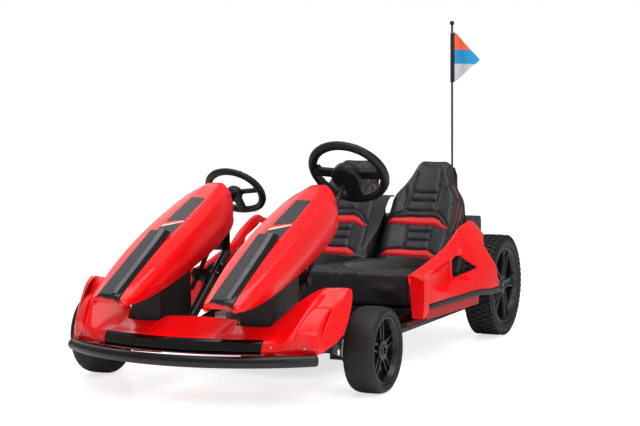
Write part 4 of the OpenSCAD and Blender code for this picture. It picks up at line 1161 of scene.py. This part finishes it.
# Webbing: a lap belt over the foot of each seat, and a belt that hangs between the seats
beltSet = {"width": 44, "thickness": 1.8,
           # Centre of the webbing, and the way its width lies
           "lap": [((-116, 650, 225.5), (0.2, -1, 0)), ((-92, 606, 228), (0.1, -0.95, -0.2)),
                   ((-50, 588, 232), (0, -0.9, -0.35)), ((0, 584, 235), (0, -0.85, -0.45)),
                   ((40, 590, 239), (0, -0.8, -0.6)), ((76, 612, 242), (-0.1, -0.75, -0.6)),
                   ((102, 655, 238), (-0.3, -0.7, -0.5)), ((112, 720, 231), (-0.4, -0.8, -0.3)),
                   ((114, 800, 228), (-0.3, -0.9, -0.2))],
           "middle": [((2, 1015, 392), (1, 0, 0)), ((1, 995, 400), (1, 0, 0)), ((0, 968, 386), (1, -0.1, 0.1)),
                      ((-1, 938, 348), (1, -0.15, 0.1)), ((-3, 908, 306), (0.95, -0.25, 0.15)),
                      ((-6, 884, 276), (0.75, -0.5, 0.3)), ((-9, 862, 256), (0.5, -0.8, 0.2)),
                      ((-11, 846, 240), (0.8, -0.5, -0.2)), ((-12, 826, 230), (1, -0.1, -0.1)),
                      ((-12, 800, 228.5), (1, 0, 0))]}


def makeBelt(name, route, shiftX=0):
    rows = []
    for centre, wide in route:
        side = Vector(wide).normalized() * beltSet["width"] / 2
        middle = Vector(centre) + Vector((shiftX, 0, 0))
        rows.append([at(*(middle + side * share)) for share in (-1, -0.5, 0, 0.5, 1)])
    belt = gridSheet(name, rows)
    smoothed(belt, 3)
    return walled(belt, beltSet["thickness"])


lapBelts = [makeBelt(name, beltSet["lap"], x) for name, x in (("driverLapBelt", 127), ("secondLapBelt", -127))]
middleBelt = makeBelt("middleBelt", beltSet["middle"])
for belt in lapBelts + [middleBelt]:
    finished(belt, materials["webbing"], "chassis", ("lap_belts",), 50)
print("bench and belts made")

# Rims: a barrel with a sloping lip, a hub, and spokes


def wheelPlace(centre, side, radius, turn, out, across=0):
    # A place on a wheel: radius and turn about the axle, out along it, and across the spoke
    c, s = math.cos(turn), math.sin(turn)
    return (centre[0] + side * out, centre[1] + radius * c - across * s, centre[2] + radius * s + across * c)


def spokeSheet(name, centre, turn, stations, wall):
    # Stations of (radius, half width, edge height, valley height) make one hollowed spoke
    rows = []
    for radius, half, edge, valley in stations:
        shape = [(-half, valley - 9), (-half, edge - 1), (-half + 1.4, edge), (-half + 3, edge), (-half + 4.4, valley),
                 (half - 4.4, valley), (half - 3, edge), (half - 1.4, edge), (half, edge - 1), (half, valley - 9)]
        rows.append([at(*wheelPlace(centre, 1, radius, turn, out, across)) for across, out in shape])
    spoke = gridSheet(name, rows, None, {k: 0.5 for k in range(1, 9)})
    smoothed(spoke, 1)
    return walled(spoke, wall)


frontRimSet = {"centre": (375, 0, 104), "pairs": 5, "gap": 17, "width": 5.4, "depth": 9, "face": 23,
               "barrel": [(81.4, 33), (79, 34.6), (76.5, 34), (71, 24), (69.5, 20), (69, -20), (71, -30), (77, -33),
                          (80, -33), (76, -28), (74.5, 0), (76, 28), (81.4, 33)],
               "hub": [(8.2, -20), (17, -20), (17, 16), (25, 20), (25, 25), (23.5, 26.5), (14, 27), (12, 30), (10, 30.5),
                       (8.2, 30), (8.2, -20)]}
rearRimSet = {"centre": (341, wheelbase, 146), "spokes": 5, "startTurn": 2,
              "barrel": [(110.6, 36.5), (108, 38.2), (105, 37.6), (99.5, 28), (98, 24), (97, -24), (99, -34),
                         (106, -37), (109, -37), (104, -32), (102.5, 0), (104, 32), (110.6, 36.5)],
              "hub": [(8.2, -24), (21, -24), (21, 18), (30, 24), (30, 28.5), (28.5, 30), (17, 30.5), (15, 33),
                      (12, 33.5), (8.2, 33), (8.2, -24)],
              "stations": [(22, 12.5, 29, 25), (34, 10.5, 30, 24), (52, 10.5, 30.5, 23.5), (72, 13, 30.5, 23.5),
                           (88, 17.5, 30, 24), (101, 25, 29.5, 25)]}


def makeFrontRim(values):
    centre = values["centre"]
    parts = [lathe("frontLeftRim", values["barrel"], 96, centre), lathe("frontHub", values["hub"], 48, centre)]
    for k in range(values["pairs"]):
        turn = 2 * math.pi * k / values["pairs"] + math.pi / 2
        radial, along = Vector((0, math.cos(turn), math.sin(turn))), Vector((0, -math.sin(turn), math.cos(turn)))
        for across in (-values["gap"] / 2, values["gap"] / 2):
            middle = wheelPlace(centre, 1, 43, turn, values["face"] - values["depth"] / 2, across)
            parts.append(boxed("frontSpoke", (57, values["width"], values["depth"]), middle,
                               (radial, along, Vector((1, 0, 0))), 1.2))
    return joined("frontLeftRim", parts)


def makeRearRim(values):
    centre = values["centre"]
    parts = [lathe("rearLeftRim", values["barrel"], 96, centre), lathe("rearHub", values["hub"], 48, centre)]
    for k in range(values["spokes"]):
        turn = math.radians(values["startTurn"]) + 2 * math.pi * k / values["spokes"]
        parts.append(spokeSheet("rearSpoke", centre, turn, values["stations"], 2.5))
    # Five bolts round the hub
    for k in range(5):
        turn = 2 * math.pi * (k + 0.5) / 5
        ends = [wheelPlace(centre, 1, 22.5, turn, out) for out in (28, 33)]
        parts.append(rod("rimBolt", *ends, 2.8, 6, 0.5))
    return joined("rearLeftRim", parts)


frontRim, rearRim = makeFrontRim(frontRimSet), makeRearRim(rearRimSet)
otherFrontRim = copied(frontRim, "frontRightRim", acrossKart)
otherRearRim = copied(rearRim, "rearRightRim", acrossKart)
for piece, node in ((frontRim, "front_left_rim"), (otherFrontRim, "front_right_rim"), (rearRim, "rear_left_rim"),
                    (otherRearRim, "rear_right_rim")):
    finished(piece, materials["rim_plastic"], node.replace("rim", "wheel"), (node,), 35)
print("rims made")

# Steering wheels: soft ring, hub drum and three spokes across the column's slope
columnSlope = math.radians(43)
columnAxes = (Vector((1, 0, 0)), Vector((0, -math.sin(columnSlope), math.cos(columnSlope))),
              Vector((0, math.cos(columnSlope), math.sin(columnSlope))))


def onColumn(centre, x, y, z):
    # x to the driver's side, y up across the wheel, z up the column
    place = Vector(centre)
    for axis, value in zip(columnAxes, (x, y, z)):
        place = place + axis * value
    return place


driverWheelSet = {"centre": (152, 371, 503), "ring": 98.5, "grip": 12.5, "flat": 0.0, "ribs": 0,
                  "hub": [(0, 7), (24, 7), (32, 5), (37, 0), (40, -10), (41, -24), (37, -30), (0, -30)],
                  # Middle, size, turn in degrees, depth, ease
                  "spokes": [((62, 1), (62, 27), 0, -7, 11), ((-62, 8), (60, 27), -6, -7, 11),
                             ((2, -62), (44, 58), 0, -9, 13), ((60, 7), (56, 11), 0, 2, 7),
                             ((-82, 16), (14, 14), 20, 2, 7)]}
secondWheelSet = {"centre": (-152, 314, 449.8), "ring": 75.5, "grip": 10, "flat": 0.16, "ribs": 16,
                  "hub": [(0, 5), (14, 5), (19, 3.5), (22, 0), (23, -12), (21, -19), (0, -20)],
                  "spokes": [((44, 8), (50, 13), 8, -4, 7), ((-44, 8), (50, 13), -8, -4, 7),
                             ((2, -40), (24, 46), 0, -5, 8)]}


def makeSteeringWheel(name, values, parts):
    rows, steps, sides = [], 96, 16
    for k in range(steps + 1):
        turn = 2 * math.pi * k / steps
        grip = values["grip"] * (1 + 0.05 * math.cos(3 * turn))
        low = max(0, -math.sin(turn) - 0.72)
        radius = values["ring"] * (1 - values["flat"] * low * 1.6)
        if values["ribs"] and 0.15 < turn < 1.25:
            grip += 0.5 * math.cos(turn * 60)
        row = []
        for j in range(sides + 1):
            roll = 2 * math.pi * j / sides
            out, lift = grip * math.cos(roll), grip * 0.92 * math.sin(roll)
            row.append(at(*onColumn(values["centre"], (radius + out) * math.cos(turn), (radius + out) * math.sin(turn), lift)))
        rows.append(row)
    ring = merged(gridSheet(name, rows))
    smoothed(ring, 1)
    pieces = [ring]
    rows = []
    for k in range(49):
        turn = 2 * math.pi * k / 48
        rows.append([at(*onColumn(values["centre"], r * math.cos(turn), r * math.sin(turn), z)) for r, z in values["hub"]])
    pieces.append(merged(gridSheet("wheelHub", rows), 0.05))
    for (x, y), (wide, tall), turn, lift, thick in values["spokes"]:
        c, s = math.cos(math.radians(turn)), math.sin(math.radians(turn))
        axes = (columnAxes[0] * c + columnAxes[1] * s, columnAxes[1] * c - columnAxes[0] * s, columnAxes[2])
        pieces.append(boxed("wheelSpoke", (wide, tall, thick), onColumn(values["centre"], x, y, lift), axes, 3.2, 0.86))
    # Raised seams round the grip, where its halves meet
    for turn in (62, 118, 338, 300, 202, 240):
        turn = math.radians(turn)
        middle = onColumn(values["centre"], values["ring"] * math.cos(turn), values["ring"] * math.sin(turn), 0)
        deselectAll()
        bpy.ops.mesh.primitive_torus_add(major_radius=values["grip"] * 0.99 * mm, minor_radius=0.75 * mm,
                                         major_segments=32, minor_segments=8)
        seam = bpy.context.object
        tangent = columnAxes[1] * math.cos(turn) - columnAxes[0] * math.sin(turn)
        seam.data.transform(Matrix.Translation(at(*middle)) @ tangent.to_track_quat("Z", "Y").to_matrix().to_4x4())
        pieces.append(seam)
    return joined(name, pieces + parts)


driverWheel = makeSteeringWheel("driverSteeringWheelBody", driverWheelSet, [])
columnFoot, columnTop = onColumn(secondWheelSet["centre"], 0, 0, -340), onColumn(secondWheelSet["centre"], 0, 0, -14)
secondWheel = makeSteeringWheel("secondSteeringWheelBody", secondWheelSet, [rod("secondColumn", columnFoot, columnTop, 6)])
finished(driverWheel, materials["wheel_grip"], "driver_steering", ("driver_steering_wheel",), 40)
finished(secondWheel, materials["wheel_grip"], "second_steering", ("second_steering_wheel",), 40)
print("steering wheels made")

# Pennant: printed nylon on a black sleeve
flagSet = {"mast": (168, 1114), "low": 733, "high": 883, "fly": 88, "tip": 0.46, "wave": 5.5, "steps": (18, 26)}


def pennantNylon():
    # Thin woven nylon, printed in three colour blocks beside its black sleeve
    material, tree, shader, point = newMaterial("printedNylon", IOR=1.5)
    part = addNode(tree, "SeparateXYZ", None, {0: addNode(tree, "UVMap", uv_map="cutPlan").outputs[0]}).outputs
    weave = noiseAt(tree, point, 1.2)

    def block(low, high, edgeLow, edgeHigh, below, value):
        colour = addNode(tree, "Mix", {7: hexColour(high)} if isinstance(low, str) else {7: hexColour(high)},
                         {0: spread(tree, value, 0, 1, edgeLow, edgeHigh), 6: below}, data_type="RGBA")
        return colour.outputs[2]

    pale = addNode(tree, "RGB").outputs[0]
    pale.default_value = hexColour("D2CED6")
    colour = block("", "129AD6", 0.365, 0.37, pale, part[1])
    colour = block("", "FB6A38", 0.645, 0.65, colour, part[1])
    sleeve = addNode(tree, "Mix", {7: hexColour("16181E")}, {0: spread(tree, part[0], 1, 0, 0.085, 0.09), 6: colour},
                     data_type="RGBA").outputs[2]
    tree.links.new(sleeve, shader.inputs["Base Color"])
    tree.links.new(spread(tree, weave, 0.6, 0.75), shader.inputs["Roughness"])
    shader.inputs["Sheen Weight"].default_value = 0.15
    bumped(tree, shader, weave, 0.08)
    return material


def makeFlag(values):
    across, along = values["steps"]
    rows, plan = [], []
    mastX, mastY = values["mast"]
    for i in range(along + 1):
        v = i / along
        height = values["low"] + v * (values["high"] - values["low"])
        # The fly edge comes to a point at the tip's height
        reach = v / values["tip"] if v < values["tip"] else (1 - v) / (1 - values["tip"])
        reach = 6 + (values["fly"] - 6) * reach ** 0.92
        row = []
        for j in range(across + 1):
            u = j / across
            out = 4.6 + u * (reach - 4.6)
            wave = values["wave"] * math.sin(2.3 * math.pi * out / values["fly"] + 1.2 * v) * min(1, (out - 4.6) / 25)
            row.append(at(mastX + out * 0.985, mastY + wave, height - 3.5 * (out / values["fly"]) ** 2))
            plan.append((out / values["fly"], v))
        rows.append(row)
    flag = gridSheet("pennant", rows)
    layer = flag.data.uv_layers.new(name="cutPlan")
    for loop in flag.data.loops:
        layer.data[loop.index].uv = plan[loop.vertex_index]
    smoothed(flag, 1)
    return walled(flag, 0.5)


pennant = makeFlag(flagSet)
sleeve = rod("pennantSleeve", (*flagSet["mast"], flagSet["low"]), (*flagSet["mast"], flagSet["high"] - 4), 5.4, 24, 1)
finished(pennant, pennantNylon(), "chassis", ("flag",), 60)
finished(sleeve, materials["webbing"], "chassis", ("flag",), 40)
print("flag made")

# Fasteners and small fittings
def domeBolt(name, place, axis, radius, height):
    axis = Vector(axis).normalized()
    turn = axis.to_track_quat("Z", "Y").to_matrix()
    profile = [(0, height), (radius * 0.45, height * 0.96), (radius * 0.8, height * 0.68), (radius, height * 0.15),
               (radius, -1.5), (0, -1.5)]
    rows = []
    for k in range(25):
        angle = 2 * math.pi * k / 24
        rows.append([at(*(Vector(place) + turn @ Vector((r * math.cos(angle), r * math.sin(angle), h))))
                     for r, h in profile])
    return merged(gridSheet(name, rows), 0.05)


# Clamp plates with bolts on the column supports, and the light metal box at the frame's neck
def makeFittings():
    zinc, black = [], []
    for side in (1, -1):
        for y, z in ((128, 246), (152, 266)):
            for x in (104, 136):
                zinc.append(domeBolt("clampBolt", (side * x, y - 12, z + 9), (0, -0.75, 0.66), 3.4, 3))
        black.append(boxed("clampPlate", (46, 44, 5), (side * 120, 132, 262),
                           (Vector((1, 0, 0)), Vector((0, 0.79, 0.61)), Vector((0, -0.61, 0.79))), 1.2))
        for x in (-300, -225):
            zinc.append(domeBolt("fairingBolt", (side * x, -228 - (300 + x) * 0.28, 135), (0, -1, 0.1), 4, 3))
    # Light metal case beside the driver's column, and a grey bracket between the columns
    zinc.append(boxed("metalCase", (58, 70, 22), (176, -48, 176), edge=2))
    zinc.append(boxed("metalBracket", (30, 50, 14), (10, -60, 178), edge=2))
    return zinc, black


zincParts, blackParts = makeFittings()
finished(joined("clampBolts", zincParts), materials["zinc_steel"], "chassis", (), 40)
finished(joined("clampPlates", blackParts), materials["painted_steel"], "chassis", (), 35)
print("fittings made")

# The frame's own solids get eased edges, so that they catch the light
easedSet = {"seat_box": 2.5, "rear_cover": 5.0, "motors": 1.2,
            "battery": 1.5, "pedal": 1.0, "bumper_arms": 0.8, "driver_support": 0.6, "second_support": 0.6,
            "floor_pan": 1.0, "seat_shells": 1.0}
nodes["driver_column"].data.materials[0] = materials["painted_steel"]
for node, width in easedSet.items():
    for name, values in (("weld", ("WELD", {"merge_threshold": 0.02 * mm})),
                         ("ease", ("BEVEL", {"width": width * mm, "segments": 2, "limit_method": "ANGLE",
                                             "angle_limit": math.radians(40)}))):
        modifier = nodes[node].modifiers.new(name, values[0])
        for setting, value in values[1].items():
            setattr(modifier, setting, value)
print("edges eased")

# Studio
studioSet = {"floorSize": 24, "floorRoughness": 0.12, "floorLift": 0.68, "worldLight": 0.72,
             "shineLight": 0.26, "keyPower": 60, "sidePower": 20, "backPower": 16}


def setStudio(values):
    bpy.ops.mesh.primitive_plane_add(size=values["floorSize"], location=(0, 0, 0))
    floor = bpy.context.object
    floor.name = "studioFloor"
    material, tree, shader, point = newMaterial("whiteFloor", Roughness=values["floorRoughness"])
    shader.inputs["Base Color"].default_value = hexColour("F6F6F6")
    shader.inputs["Emission Color"].default_value = (1, 1, 1, 1)
    seen = addNode(tree, "LightPath").outputs["Is Camera Ray"]
    lift = addNode(tree, "Math", {1: values["floorLift"]}, {0: seen}, operation="MULTIPLY").outputs[0]
    tree.links.new(lift, shader.inputs["Emission Strength"])
    floor.data.materials.append(material)
    world = bpy.context.scene.world or bpy.data.worlds.new("studio")
    bpy.context.scene.world = world
    world.use_nodes = True
    tree = world.node_tree
    tree.nodes.clear()
    path = addNode(tree, "LightPath").outputs
    direct = addNode(tree, "Math", None, {0: path["Is Camera Ray"], 1: path["Is Transmission Ray"]},
                     operation="MAXIMUM").outputs[0]
    shine = addNode(tree, "MapRange", {3: values["worldLight"], 4: values["shineLight"]},
                    {0: path["Is Glossy Ray"]}).outputs[0]
    strength = addNode(tree, "MapRange", {4: 1.0}, {0: direct, 3: shine}).outputs[0]
    background = addNode(tree, "Background", {"Color": (1, 1, 1, 1)}, {"Strength": strength}).outputs[0]
    addNode(tree, "OutputWorld", None, {"Surface": background})
    for name, place, size, power in (("keyLight", (0.6, -0.6, 3.2), 3.0, values["keyPower"]),
                                     ("sideLight", (3.0, -2.0, 1.6), 2.0, values["sidePower"]),
                                     ("backLight", (-2.6, 1.8, 2.4), 2.2, values["backPower"])):
        bpy.ops.object.light_add(type="AREA", location=place)
        light = bpy.context.object
        light.name = name
        light.data.shape = "SQUARE"
        light.data.size = size
        light.data.energy = power
        aim = Vector((0, 0, 0.3)) - Vector(place)
        light.rotation_euler = aim.to_track_quat("-Z", "Y").to_euler()
    bpy.context.scene.view_settings.view_transform = "Standard"


setStudio(studioSet)
print("studio set")
